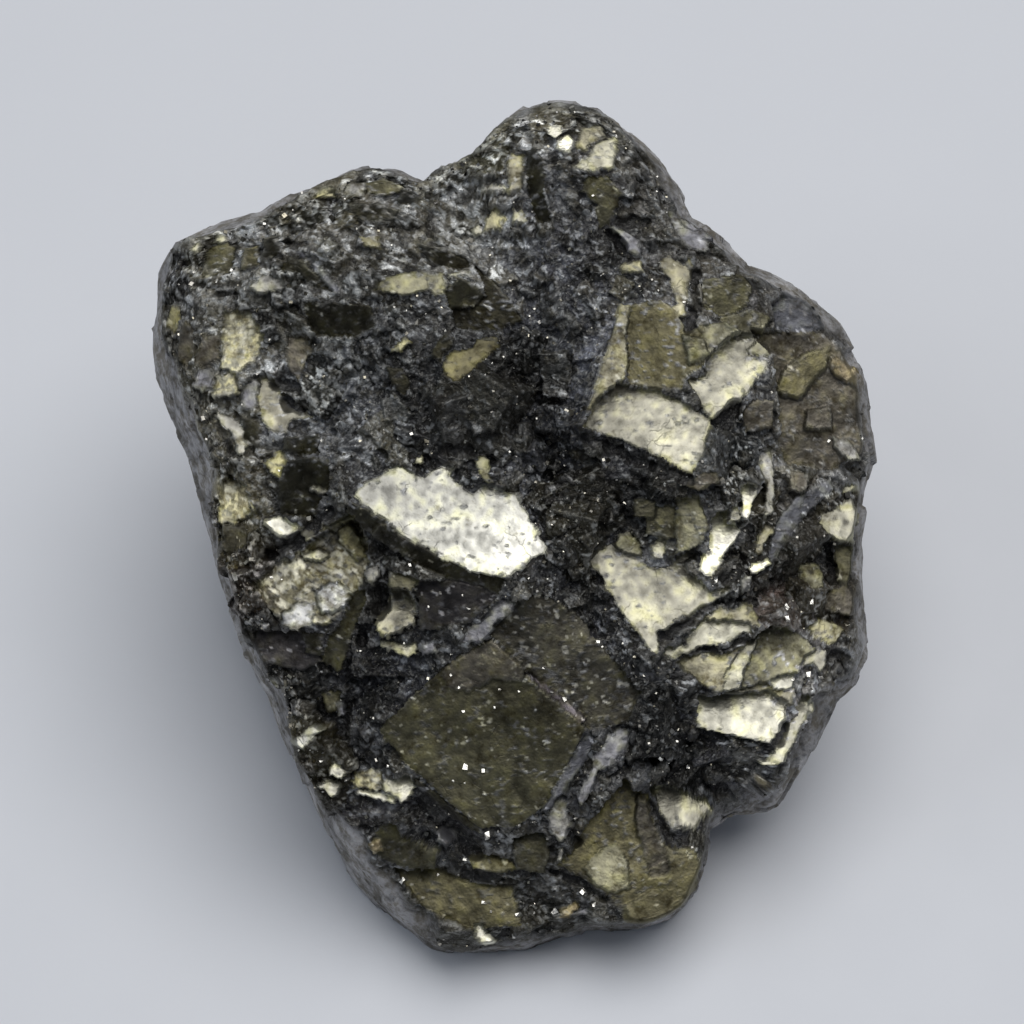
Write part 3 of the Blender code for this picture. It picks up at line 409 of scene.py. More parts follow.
     ((3.7, 0.3), (3.75, 0.9), (4.4, 0.85), (4.4, 0.3))),
    ("small_vertical", "cream", (0.05, 0.34), 0.25,
     ((4.5, -0.28), (4.72, -0.38), (4.68, -0.97), (4.33, -0.95), (4.28, -0.6))),
    ("cream_plate", "plate", (0.12, 0.38), 0.45,
     ((2.35, -1), (2.6, -0.75), (3.2, -0.38), (3.3, -0.12), (3.6, -0.08), (3.95, -0.4),
      (4.02, -0.8), (4.05, -1.1), (4.5, -1.22), (4.8, -1.22), (4.95, -1.08), (5.05, -0.92),
      (5.3, -0.78), (5.62, -0.72), (5.68, -0.88), (5.35, -1.05), (5.42, -1.28), (5.9, -1.68),
      (6.1, -1.93), (6.3, -1.93), (6.62, -1.77), (6.75, -1.83), (6.3, -2.22), (6, -2.42),
      (5.7, -2.53), (5.5, -2.78), (5.3, -2.67), (4.9, -2.93), (4.85, -3.13), (4.5, -3.18),
      (4.57, -3.5), (4.52, -3.77), (4.35, -3.84), (4.08, -3.57), (3.68, -3), (3.28, -2.5),
      (3.08, -2.07), (2.88, -1.9), (2.78, -1.55), (2.58, -1.3))),
    ("plate_top", "khaki", (0.08, 0.26), 0.46,
     ((3.15, -0.55), (3.3, -0.15), (3.6, -0.1), (3.93, -0.4), (4, -0.85), (3.5, -0.8))),
    ("white_bar", "glare", (0.12, 0.4), 0.42,
     ((6.08, 0.2), (6.28, 0.52), (6.6, 0.52), (6.58, 0.3), (6.62, 0.17), (6.9, 0.12),
      (7.08, -0.1), (6.9, -0.42), (6.57, -0.82), (6.42, -1.12), (6.22, -1.42), (5.95, -1.48),
      (5.77, -1.3), (5.83, -0.9), (6.08, -0.5), (6.08, -0.1))),
    ("white_bar_top", "glare", (0.12, 0.4), 0.4,
     ((7, 1.3), (7.3, 1.42), (7.58, 1.15), (7.42, 0.8), (7.32, 0.4), (7.15, 0.22),
      (7, 0.4), (7.03, 0.9))),
    ("bar_notch", "cream", (0.06, 0.28), 0.35,
     ((6.6, 0.5), (6.9, 0.72), (7, 0.3), (6.9, 0.15), (6.65, 0.2))),
    ("bar_small", "glare", (0.1, 0.4), 0.25,
     ((7.28, -1.25), (7.4, -1.08), (7.9, -0.97), (8.02, -1.1), (7.7, -1.32), (7.4, -1.43))),
    ("pale_low", "dull_gold", (0.1, 0.3), 0.2,
     ((7.8, 0.12), (8.12, 0.12), (8.12, -0.2), (7.87, -0.42), (7.72, -0.82), (7.48, -0.72),
      (7.58, -0.4), (7.73, -0.1))),
    ("grey_slip", "grey", (0.06, 0.2), 0.15,
     ((7, -1.5), (7.35, -1.38), (7.32, -2), (7.05, -2.02))),
    ("crescent_top", "dull_gold", (0.02, 0.34), 0.42,
     ((5.9, -2.85), (6, -2.62), (6.4, -2.43), (7, -2.48), (7.1, -2.33), (7.42, -2.38),
      (7.53, -2.7), (7.63, -3.05), (7.3, -2.95), (6.6, -2.85), (6.1, -2.98))),
    ("cream_crescent", "ivory", (0.04, 0.42), 0.45,
     ((4.72, -3.6), (5, -3.73), (5.2, -3.53), (5.35, -3.63), (5.38, -3.4), (5.58, -3.08),
      (5.88, -2.83), (6.6, -2.82), (7.3, -2.93), (7.42, -3.2), (6.9, -3.37), (6.6, -3.52),
      (6.2, -3.62), (5.9, -3.62), (5.5, -3.82), (5.2, -3.93), (4.8, -4.03), (4.62, -3.8))),
    ("dull_gold_left", "dull_gold", (0.03, 0.28), 0.35,
     ((5.05, -4.1), (5.9, -3.78), (6.5, -3.88), (6.95, -3.7), (7.32, -3.5), (6.6, -4.95),
      (6.3, -5.08), (5.88, -4.82))),
    ("dull_gold_right", "khaki", (0.08, 0.22), 0.35,
     ((7.6, -3.2), (8, -3), (8.5, -3.08), (8.95, -3.3), (9.45, -3.7), (9, -4.1), (8.9, -4.5),
      (8.2, -4.6), (7.4, -5.05), (7, -5.05), (7.1, -4.4), (7.5, -3.7))),
    ("dull_gold_band", "cream", (0.06, 0.3), 0.38,
     ((7.3, -3.48), (7.62, -3.18), (7.55, -3.7), (7.15, -4.4), (7.05, -4.95), (6.5, -5.03),
      (6.5, -4.6), (6.9, -4))),
    ("gold_tip", "glare", (0.08, 0.4), 0.42,
     ((7.95, -4.7), (8.4, -4.52), (8.72, -4.48), (8.68, -4.97), (8.3, -5.08), (8, -4.97))),
    ("east_tip", "plate", (0.1, 0.36), 0.3,
     ((8.95, -4.3), (8.98, -3.98), (9.4, -3.75), (9.72, -3.78), (9.72, -4.2), (9.5, -4.52),
      (9.3, -4.22))),
    ("gold_ledge", "dull_gold", (0.08, 0.3), 0.36,
     ((6.4, -5.12), (7.0, -4.92), (7.9, -4.75), (8.1, -5.0), (8.7, -4.95), (8.75, -5.5),
      (8.5, -5.45), (7.9, -5.04), (6.6, -5.16))),
    ("bright_brick", "white", (0.1, 0.4), 0.5,
     ((5.68, -6.15), (5.65, -5.12), (6.6, -5.1), (7.9, -5), (8.5, -5.38), (8.42, -6.05),
      (7.98, -6.64), (7.2, -6.5), (6.2, -6.28))),
    ("curved_edge", "ivory", (0.12, 0.38), 0.28,
     ((8.68, -5.6), (8.83, -5.08), (9.12, -5.08), (9.33, -5.4), (9.33, -5.77), (9.02, -5.92),
      (8.92, -6.2), (8.78, -6.6), (8.53, -6.92), (8.43, -7.22), (8.1, -7.33), (7.7, -7.33),
      (7.57, -7.15), (7.9, -7.08), (8.18, -6.78), (8.47, -6.3), (8.48, -6), (8.68, -5.8))),
    ("brown_wedge", "brown", (0.1, 0.15), 0.1,
     ((7.3, -7.4), (7.65, -7.5), (7.95, -7.9), (7.7, -8.1), (7.3, -7.9))),
    ("south_lobe", "moss", (0.05, 0.14), 0.3,
     ((1.4, -10.4), (1.9, -10), (1.9, -9.6), (2.3, -9), (2.7, -8.7), (3, -8.1), (3.3, -7.8),
      (3.5, -7.7), (3.7, -8.05), (4.25, -8.25), (4.38, -9), (4.6, -9.7), (5, -9.9),
      (5.6, -9.9), (5.9, -10.5), (5.75, -11.3), (5.35, -11.9), (4.7, -12.25), (4, -12.32),
      (3.5, -12.22), (3.2, -11.65), (3, -11.35), (2.6, -11.12), (2.1, -10.82))),
    ("lobe_pale", "khaki", (0.05, 0.24), 0.3,
     ((2.2, -10.5), (2.7, -9.9), (3.2, -9.7), (3.6, -10.3), (3.65, -11.15), (3.1, -11.3),
      (2.5, -11))),
    ("lobe_low", "moss", (0.06, 0.18), 0.3,
     ((3.4, -11.6), (4.3, -11.1), (5.3, -11.1), (5.2, -11.8), (4.5, -12.15), (3.6, -12.1))),
    ("lobe_dark", "brown", (0.1, 0.02), 0.31,
     ((3.85, -8.3), (4.2, -8.4), (4.35, -9.1), (4.75, -9.9), (4.9, -10.7), (4.3, -10.8),
      (4, -9.8), (3.8, -9))),
    ("south_pale", "plate", (0.06, 0.4), 0.35,
     ((4.22, -7.97), (4.9, -7.97), (5.3, -8.17), (5.92, -8.37), (6.33, -8.8), (5.93, -9.02),
      (5.72, -9.33), (5, -9.38), (4.68, -9), (4.48, -8.5))),
    ("great_cube_back", "dusty", (0.1, 0.0), 0.4,
     ((-0.7, -3.3), (0.1, -2.2), (0.9, -2), (2, -2.6), (2.9, -3.8), (3.95, -5),
      (3.6, -5.95), (2.6, -6.2), (2.2, -6.1), (1.3, -5.1), (0.4, -4.4))),
    ("great_cube", "dark", (-0.04, -0.04), 0.6,
     ((-4.1, -6.2), (-3, -5.05), (-2.1, -4.25), (-1.3, -3.7), (-0.65, -3.35), (0.4, -4.45),
      (1.3, -5.2), (2.25, -6.1), (2, -6.8), (1.5, -7.6), (0.9, -8.65), (0.2, -9.15),
      (-0.9, -9.25), (-1.5, -8.8), (-2.3, -8.1), (-3.4, -7.1))),
    ("cube_top", "brown", (-0.04, -0.02), 0.6,
     ((-1.6, -3.95), (-0.65, -3.4), (0.4, -4.3), (0.3, -4.7), (-0.6, -4.6), (-1.3, -5),
      (-2, -4.9), (-2.2, -4.4))),
    ("cube_step", "plum", (0, 0.34), 0.62,
     ((0.3, -4.35), (0.55, -4.45), (1.4, -5.08), (2.28, -5.85), (2.2, -6.05), (1.3, -5.3))),
    ("cube_bevel", "steel", (0.16, 0.12), 0.45,
     ((0.85, -8.7), (1.3, -8), (1.6, -7.3), (2, -6.6), (2.3, -6.15), (2.55, -6.35),
      (2.35, -7), (1.9, -7.6), (1.6, -8.05), (1.2, -8.55))),
    ("cube_bevel_low", "black", (-0.1, 0.0), 0.5,
     ((-2.95, -7.6), (-2.3, -8.05), (-1.5, -8.75), (-0.9, -9.18), (-1, -9.35), (-1.7, -8.93),
      (-2.5, -8.27), (-3.05, -7.8))),
    ("slab_upper", "slate", (0.16, 0.26), 0.3,
     ((2.85, -6.3), (3.3, -6.05), (3.63, -6.2), (3.53, -6.7), (3.13, -7.12), (2.92, -7.33),
      (2.63, -7.43), (2.53, -7.8), (2.23, -8.33), (2.05, -8.55), (1.97, -8.2), (2.07, -7.9),
      (2.37, -7.5), (2.47, -7))),
    ("slab_lower", "grey", (0.16, 0.22), 0.35,
     ((1.07, -8.8), (1.17, -8.5), (1.4, -8.17), (1.6, -7.97), (1.73, -8.3), (1.67, -8.7),
      (1.83, -9.1), (1.63, -9.53), (1.45, -9.65), (1.28, -9.4), (1.12, -9.1))),
    ("slab_tip", "pale", (0.08, 0.32), 0.2,
     ((1.33, -10.2), (1.43, -9.78), (1.67, -9.73), (1.62, -10), (1.5, -10.27))),
    ("edge_strip", "slate", (-0.04, 0.22), 0.35,
     ((-0.5, -2.27), (-0.1, -2.12), (0.08, -2.35), (0.02, -2.57), (-0.4, -2.83),
      (-0.8, -3.33), (-0.9, -3.5), (-1.55, -3.48), (-1.2, -2.98), (-0.8, -2.78))),
    ("olive_wedge", "dusk", (0.1, -0.1), 0.2,
     ((-2.9, -1.6), (-1.8, -1.55), (-0.9, -1.75), (-0.4, -2.05), (-0.8, -2.4), (-1.3, -2.9),
      (-1.9, -2.9), (-2.2, -3.1), (-2.8, -3.1))),
    ("grey_above", "dark", (-0.04, 0.2), 0.2,
     ((-3.75, -1.3), (-3.3, -1.35), (-2.75, -1.6), (-3.05, -1.9), (-3.75, -1.85))),
    ("small_cream", "square", (-0.02, 0.38), 0.28,
     ((-3.7, -1.85), (-3.2, -1.83), (-2.97, -2.2), (-2.93, -2.92), (-3.3, -3.07),
      (-3.8, -3.32), (-4.18, -3.12), (-4.12, -2.8), (-3.8, -2.2))),
    ("chevron", "cream", (0, 0.38), 0.2,
     ((-4.05, -3.4), (-3.3, -3.55), (-2.9, -3.47), (-2.88, -3.87), (-3.2, -3.98),
      (-3.6, -3.77), (-4.05, -3.6))),
    ("chevron_blue", "slate", (0, 0.22), 0.15,
     ((-2.8, -3.5), (-2.4, -3.48), (-2.28, -3.82), (-2.7, -3.92))),
    ("grey_posts", "grey", (0, 0.3), 0.2,
     ((-4.45, -1.3), (-4.05, -1.08), (-4, -1.5), (-4.2, -1.78), (-4.45, -1.6))),
    ("upright_gray", "dark", (-0.2, -0.08), 0.25,
     ((-4.95, -1.9), (-4.45, -1.9), (-4.42, -2.2), (-4.9, -3.2), (-5.1, -4), (-5.3, -4.42),
      (-5.82, -4.1), (-5.6, -3.4), (-5.3, -2.9), (-5, -2.4))),
    ("striated_face", "streaked", (-0.08, 0.32), 0.35,
     ((-7.4, -2.5), (-7.9, -1.9), (-7.3, -1.1), (-6.4, -0.7), (-5.7, -0.1), (-5, 0.45),
      (-4.6, 0.2), (-4.4, -0.6), (-4.42, -1.3), (-4.8, -2), (-5.1, -2.5), (-5.6, -2.9),
      (-6.2, -3), (-6.7, -3.17))),
    ("striated_edge", "dull_gold", (-0.04, 0.34), 0.4,
     ((-5.95, -0.05), (-5.4, 0.25), (-5, 0.48), (-4.6, 0.25), (-5, 0.25), (-5.5, -0.05))),
    ("striated_olive", "olive", (-0.1, 0.05), 0.36,
     ((-5.4, -0.05), (-5, 0.15), (-4.65, -0.3), (-4.45, -0.9), (-4.8, -1), (-5.3, -0.5))),
    ("striated_top", "cream", (0, 0.36), 0.36,
     ((-6.45, -0.75), (-5.9, -0.62), (-5.55, -0.85), (-5.9, -1.03), (-6.38, -1))),
    ("striated_white", "silver", (0.02, 0.4), 0.36,
     ((-7.05, -2.6), (-6.5, -2.3), (-5.95, -2.25), (-6, -2.8), (-6.3, -3.02), (-6.7, -3.12),
      (-7, -2.97))),
    ("striated_pale", "silver", (0, 0.38), 0.36,
     ((-6.05, -1.9), (-5.3, -1.55), (-4.85, -1.9), (-5.15, -2.45), (-5.8, -2.65),
      (-5.95, -2.2))),
    ("west_slab", "dusk", (-0.1, 0.1), 0.12,
     ((-8.1, -3.1), (-6.5, -3.1), (-5.8, -4.1), (-6.4, -4.35), (-7, -4.25), (-7.7, -4.1))),
    ("west_dark", "black", (-0.05, -0.1), 0.15,
     ((-6.4, -3.12), (-5.7, -3.2), (-5.8, -3.92), (-6.3, -3.8))),
    ("rim_chip", "pale", (0, 0.36), 0.15,
     ((-7.55, -4.77), (-7.3, -4.57), (-7.1, -4.67), (-6.92, -5.03), (-7.25, -4.98))),
    ("west_dull", "dark", (-0.05, 0.02), 0.2,
     ((-5.9, -5), (-5.3, -5), (-5.18, -5.6), (-5.7, -5.72))),
    ("west_fleck", "steel", (0, 0.34), 0.15,
     ((-5.42, -5.35), (-5.18, -5.28), (-5.12, -5.77), (-5.37, -5.83))),
    ("west_pale", "block", (0.02, 0.36), 0.15,
     ((-6.85, -6.42), (-6.3, -6.18), (-6, -5.92), (-5.65, -6.03), (-6, -6.33), (-6.3, -6.65),
      (-6.6, -6.53))),
    ("west_white", "white", (0.04, 0.4), 0.25,
     ((-5.42, -7.07), (-5.22, -7.18), (-4.97, -7.45), (-5.2, -7.68), (-5.45, -7.53),
      (-5.63, -7.57))),
    ("west_white_b", "white", (0.04, 0.4), 0.25,
     ((-6, -7.87), (-5.6, -7.67), (-5.3, -7.67), (-5.17, -7.9), (-5.3, -8.13),
      (-5.5, -8.23), (-5.7, -8.03))),
    ("west_middle", "glitter", (-0.02, 0.3), 0.2,
     ((-4.9, -7.5), (-4, -7.4), (-3.9, -8.1), (-4.9, -8.05))),
    ("west_line", "glare", (0.02, 0.38), 0.25,
     ((-4.82, -8.02), (-4.82, -8.22), (-3.6, -8.5), (-3.5, -8.22))),
    ("west_gold", "white", (0.02, 0.38), 0.28,
     ((-4.02, -7.8), (-3.6, -7.67), (-3.3, -7.57), (-3.12, -7.57), (-2.97, -7.95),
      (-3.2, -8.33), (-3.4, -8.48), (-3.52, -8.3), (-3.92, -8.12))),
    ("base_dull", "deep", (-0.1, -0.02), 0.2,
     ((-4.5, -9.9), (-4.2, -9.4), (-4, -9), (-3.6, -9.1), (-3.4, -9.5), (-2.7, -9.7),
      (-2.2, -9.85), (-2.4, -10.6), (-3.6, -10.4))),
    ("base_gold", "tan", (0, 0.24), 0.15,
     ((-4.45, -9.7), (-4.1, -9.57), (-3.97, -9.95), (-4.3, -10.03))),
    ("base_lower", "moss", (-0.03, 0.12), 0.15,
     ((-3.7, -10.5), (-2.4, -10.5), (-1.1, -11), (0, -11.1), (0.3, -12.3), (-1.4, -12.4),
      (-2.8, -11.7))),
    ("base_pale", "olive", (0.05, 0.22), 0.25,
     ((-1.33, -10.1), (-0.8, -9.95), (-0.4, -9.95), (0.02, -10.3), (0.12, -10.5),
      (-0.3, -10.63), (-1.2, -10.53))),
    ("base_chunk", "slate", (0, 0.28), 0.2,
     ((-2.33, -9.3), (-2.1, -9.12), (-1.68, -9.18), (-1.67, -9.5), (-2, -9.68),
      (-2.33, -9.57))),
    ("base_olive", "deep", (0.05, 0.02), 0.2,
     ((0, -9.4), (1, -9.3), (1.2, -9.9), (1, -10.6), (0.1, -10.5))),
    ("south_white", "glare", (0.02, 0.38), 0.22,
     ((-1.13, -12.17), (-0.88, -12.17), (-0.78, -12.5), (-0.47, -12.8), (-0.58, -12.97),
      (-0.92, -12.87), (-1.13, -12.6))),
    ("south_wedge", "tan", (0.02, 0.3), 0.2,
     ((1.45, -12.05), (1.58, -11.8), (2, -11.5), (2.08, -11.75), (1.8, -12.03))),
    ("south_violet", "slate", (0.02, 0.3), 0.2,
     ((1.8, -12.05), (2.1, -11.78), (2.5, -11.7), (2.3, -11.97))),
)

# Cubes half buried in the hidden walls: name, centre (world), edges, turns in degrees.
WALL_CUBES = (
    ("rear_cube_a", (-3.4, 8.6, 7), (3.4, 3, 3.2), (20, 10, 15)),
    ("rear_cube_b", (3.4, 9, 8.6), (2.8, 2.6, 2.8), (-15, 25, 30)),
    ("rear_cube_c", (0.4, 7.6, 3.2), (2.4, 2.4, 2.2), (10, -20, 40)),
    ("rear_cube_d", (-6, 6.8, 3.6), (2, 2, 1.8), (-12, 18, 55)),
    ("rear_cube_e", (7, 6.4, 4.6), (2.4, 2.2, 2.4), (-20, 15, 60)),
    ("east_cube_a", (9, 1.6, 5), (2.2, 2.4, 2.2), (12, 20, 25)),
    ("west_cube_a", (-8.2, 3, 4.2), (2, 2.2, 2), (15, -20, 20)),
)

# Cracks and holes: half width, depth, then the points of their line.
PITS = (
    (0.3, 0.9, ((-4.15, -1.95), (-4.1, -2.45))),
    (0.16, 0.4, ((-4.45, -2.6), (-4.65, -3.5))),
    (0.2, 0.55, ((-7.5, -0.8), (-6.7, -0.5), (-6.1, 0.1), (-5.5, 0.5))),
    (0.1, 0.4, ((4.7, -3.35), (5.45, -2.85), (6.3, -2.32), (7.0, -2.15), (7.5, -2.3))),
    (0.08, 0.25, ((5.7, -3.75), (6.4, -3.78), (7.4, -3.4))),
    (0.16, 0.4, ((2.3, 2.75), (3.4, 2.3), (4.4, 1.85), (5.4, 1.5))),
    (0.11, 0.45, ((5.45, 6.1), (5.7, 6.6), (5.68, 7.95))),
    (0.12, 0.35, ((1.2, -10.6), (2.1, -10.95), (2.9, -11.5))),
    (0.16, 0.4, ((1.85, -9.4), (1.95, -9.7))),
    (0.13, 0.4, ((4.35, -8.6), (4.55, -9.1), (5.0, -9.8))),
    (0.34, 0.6, ((-2.8, -8.5), (-2.1, -9.0), (-1.2, -9.85))),
    (0.13, 0.3, ((-1.5, -10.75), (-0.3, -10.85))),
    (0.26, 0.45, ((6.95, -0.9), (6.6, -1.6))),
    (0.1, 0.25, ((1.15, 11.35), (1.9, 11.3))),
    (0.05, 0.15, ((1.9, 11.02), (3.1, 11.02))),
    (0.12, 0.45, ((3.05, 9.08), (3.5, 8.68))),
    (0.16, 0.35, ((3.35, 9.5), (4.1, 9.5))),
    (0.12, 0.45, ((9.8, -0.55), (9.95, -1.1), (10.0, -1.6))),
    (0.3, 0.35, ((10.1, -4.0), (10.2, -4.5))),
    (0.24, 0.4, ((6.5, 3.25), (6.9, 3.7))),
    (0.13, 0.35, ((8.45, -6.1), (8.3, -6.65))),
    (0.18, 0.35, ((-7.2, 4.5), (-6.7, 4.35))),
    (0.2, 0.35, ((-6.9, 3.85), (-6.4, 3.75))),
    (0.16, 0.45, ((-1.95, 2.42), (-1.25, 2.37))),
    (0.1, 0.3, ((-9.1, 3.2), (-8.65, 2.3))),
    (0.1, 0.3, ((-10.1, 7.6), (-9.6, 7.55))),
    (0.12, 0.3, ((-9.1, 7.25), (-8.6, 7.25))),
    (0.09, 0.25, ((-6.9, 8.8), (-6.4, 8.8))),
    (0.06, 0.2, ((-3.8, 9.35), (-2.95, 9.25))),
    (0.05, 0.2, ((-1.6, 10.1), (-1.0, 10.35), (0.5, 10.35))),
    (0.22, 0.35, ((6.5, -8.1), (6.7, -8.4))),
    (0.12, 0.3, ((7.4, 0.0), (7.3, -0.6))),
)

# Colours of the rock.  The whole matrix is lifted by a factor, and between two heights w the
# wall's colour gives way to the rear's.
MATRIX_COLOUR = (0.073, 0.075, 0.082)
MATRIX_LIFT = 1.28
WALL_COLOUR = (0.35, 0.346, 0.355)
REAR_COLOUR = (0.12, 0.121, 0.126)
REAR_EASE = (-5.5, -8.5)

# Tints of the matrix: (u, v, spread u, spread v, colour, strength).  The near-black tints lie in
# hollows, cracks, the valley and under the bright block, and are painted shade there as well as the
# matrix's colour.
PATCHES = (
    (-8.2, 6.6, 2.2, 1.8, (0.115, 0.112, 0.095), 0.8),
    (-8.8, 4.2, 0.9, 1.5, (0.2, 0.19, 0.15), 0.8),
    (-8.5, 0.2, 0.8, 1.6, (0.14, 0.125, 0.07), 0.9),
    (-8.0, -2.0, 0.9, 1.0, (0.08, 0.073, 0.055), 0.9),
    (-5.0, 4.4, 1.8, 1.2, (0.09, 0.098, 0.12), 0.9),
    (-4.8, 7.8, 2.2, 0.9, (0.105, 0.104, 0.1), 0.8),
    (-3.2, 9.2, 1.8, 1.2, (0.11, 0.105, 0.09), 0.8),
    (-0.6, 9.2, 1.4, 1.6, (0.115, 0.115, 0.105), 0.8),
    (1.4, 8.6, 1.2, 1.4, (0.07, 0.072, 0.09), 0.8),
    (0.6, 12.6, 1.2, 0.8, (0.13, 0.128, 0.122), 0.8),
    (4.2, 11.0, 0.9, 1.2, (0.15, 0.142, 0.132), 0.9),
    (6.6, 8.4, 1.8, 0.9, (0.14, 0.136, 0.13), 0.8),
    (8.8, 6.4, 1.8, 1.2, (0.15, 0.145, 0.145), 0.9),
    (10.2, 3.2, 1.0, 1.6, (0.145, 0.138, 0.122), 0.8),
    (8.4, 1.6, 1.2, 1.8, (0.12, 0.116, 0.108), 0.8),
    (8.6, -1.0, 0.8, 1.2, (0.075, 0.074, 0.078), 0.9),
    (8.3, -2.2, 0.5, 0.5, (0.15, 0.105, 0.09), 0.8),
    (10.2, -2.6, 0.8, 1.4, (0.145, 0.128, 0.11), 0.8),
    (9.6, -5.6, 0.7, 1.2, (0.17, 0.165, 0.175), 0.9),
    (-6.6, -3.8, 1.2, 0.7, (0.085, 0.077, 0.085), 0.9),
    (-6.2, -5.4, 1.0, 0.8, (0.065, 0.062, 0.05), 0.8),
    (-1.6, -11.8, 2.6, 1.0, (0.11, 0.105, 0.085), 0.8),
    (0.8, -10.2, 1.0, 0.9, (0.065, 0.062, 0.05), 0.8),
    (1.8, -8.0, 0.7, 1.6, (0.12, 0.12, 0.128), 0.8),
    (1.6, -1.4, 1.0, 1.0, (0.06, 0.055, 0.045), 0.7),
    (4.4, 0.4, 1.2, 0.8, (0.09, 0.09, 0.082), 0.8),
    (1.4, 3.6, 1.5, 3.2, (0.04, 0.044, 0.06), 0.9),
    (-1.6, 3.6, 1.8, 0.9, (0.048, 0.049, 0.058), 0.9),
    (-2.0, 2.2, 1.6, 0.4, (0.04, 0.04, 0.045), 0.7),
    (4.9, -6.6, 1.2, 1.4, (0.034, 0.036, 0.048), 0.95),
    (6.8, -7.6, 1.4, 0.8, (0.024, 0.025, 0.032), 0.95),
    (-2.2, -9.3, 0.8, 0.7, (0.014, 0.015, 0.024), 1.0),
    (-4.3, -5.2, 1.2, 0.9, (0.032, 0.033, 0.044), 0.95),
    (-3.6, -4.4, 1.0, 0.5, (0.036, 0.038, 0.052), 0.9),
    (-4.8, -8.8, 1.2, 0.5, (0.058, 0.054, 0.062), 0.9),
    (-5.4, -6.8, 1.0, 0.6, (0.04, 0.04, 0.044), 0.8),
    (-2.6, -1.0, 1.6, 0.5, (0.03, 0.028, 0.024), 0.9),
    (2.4, -0.6, 0.8, 1.2, (0.036, 0.038, 0.05), 0.8),
    (2.4, -2.6, 0.6, 1.0, (0.036, 0.038, 0.052), 0.9),
    (3.6, 1.8, 1.4, 0.5, (0.034, 0.035, 0.042), 0.9),
    (6.6, 2.4, 0.8, 0.7, (0.038, 0.044, 0.055), 0.9),
    (7.0, -1.4, 0.5, 0.9, (0.022, 0.022, 0.024), 0.95),
    (10.1, -4.3, 0.5, 0.5, (0.03, 0.03, 0.034), 0.9),
)

# Broad lighter and darker regions, partly the matrix's own tone and partly painted light and shade,
# such as the painted shade under the stone along the bottom rim: (u, v, spread u, spread v,
# factor).
TONES_AND_PAINTED_LIGHT = (
    (-10.2, 8.9, 1.1, 1.0, 3.0),
    (-8.4, 9.0, 0.9, 0.8, 1.9),
    (-2.1, 10.9, 0.8, 0.7, 1.9),
    (0.0, -13.3, 1.5, 0.6, 0.45),
    (9.1, -0.6, 0.9, 0.7, 0.45),
    (4.0, 1.0, 0.9, 0.8, 0.55),
    (4.0, -0.9, 0.9, 0.6, 1.7),
    (8.0, -3.0, 0.7, 0.5, 1.5),
    (-5.8, 10.7, 2.6, 0.9, 3.2),
    (0.6, 12.6, 1.8, 1.0, 5.0),
    (-6.5, 8.6, 2.0, 0.9, 1.6),
    (-6.6, 6.7, 1.5, 0.7, 0.42),
    (-0.6, 8.2, 1.3, 1.3, 2.6),
    (2.2, 8.8, 0.9, 0.9, 0.6),
    (0.8, 6.8, 1.4, 0.9, 0.68),
    (-2.0, 11.0, 1.2, 0.9, 1.5),
    (-8.0, 4.8, 1.2, 1.6, 1.9),
    (-6.3, 3.6, 1.2, 1.4, 1.5),
    (-8.7, 0.4, 0.9, 1.4, 1.6),
    (-1.6, 4.7, 1.7, 1.1, 0.2),
    (-1.9, 3.0, 1.2, 0.9, 0.6),
    (1.9, -2.8, 0.9, 0.8, 0.6),
    (4.6, 5.8, 1.8, 1.5, 2.6),
    (7.6, 4.9, 1.0, 1.0, 1.5),
    (7.9, 7.0, 1.0, 0.8, 0.7),
    (5.6, 9.4, 2.2, 1.1, 0.62),
    (3.4, 1.0, 1.8, 0.9, 0.25),
    (5.9, 3.0, 0.9, 0.8, 0.35),
    (8.2, 1.0, 1.3, 1.2, 3.2),
    (9.2, -1.3, 1.5, 0.8, 0.35),
    (4.8, -1.2, 1.4, 1.0, 2.9),
    (8.2, -4.8, 1.2, 1.6, 4.5),
    (-0.4, 1.3, 1.2, 0.7, 1.6),
    (-6.3, 1.0, 0.9, 0.8, 0.45),
    (-3.8, -5.2, 1.8, 1.2, 0.4),
    (4.3, -5.6, 1.5, 1.8, 0.55),
    (5.6, -8.2, 1.4, 1.0, 0.6),
    (-2.6, -9.2, 1.4, 1.0, 0.5),
    (0.0, -13.5, 3.0, 1.1, 0.32),
)

# Share of the matrix covered by bright flecks: (u, v, spread u, spread v, share).
FLECK_SHARE = 0.2
FLECKS = (
    (-6.4, 7.4, 3.0, 1.6, 0.36),
    (-8.6, 5.4, 0.9, 1.6, 0.46),
    (-4.9, 4.4, 1.6, 1.3, 0.44),
    (-3.4, 9.2, 2.4, 1.3, 0.36),
    (-0.8, 8.6, 1.6, 1.4, 0.32),
    (-2.4, 2.4, 1.8, 0.6, 0.22),
    (-1.2, 4.0, 1.8, 0.9, 0.13),
    (1.4, 2.8, 1.6, 3.6, 0.11),
    (1.2, 8.4, 0.9, 1.0, 0.26),
    (4.9, -6.6, 1.4, 1.6, 0.07),
    (6.8, -7.6, 1.4, 0.9, 0.03),
    (8.6, 1.2, 1.4, 3.2, 0.1),
    (9.0, 6.4, 1.8, 1.2, 0.12),
    (-4.2, -5.0, 1.4, 1.0, 0.12),
    (-2.6, -0.9, 1.8, 0.4, 0.1),
    (-8.0, -1.4, 0.8, 1.4, 0.26),
    (-6.8, -3.8, 1.2, 0.6, 0.08),
    (-1.4, -11.8, 2.4, 0.9, 0.32),
    (-2.2, -9.3, 0.8, 0.7, 0.06),
)
# Flecks run down to the right: run of their grain, then length, width, thickness (mm), strength.
FLECK_RUN = (0.906, -0.423)
FLECK_SIZES = (
    (0.36, 0.2, 0.24, 1.0),
    (0.15, 0.1, 0.1, 0.9),
)
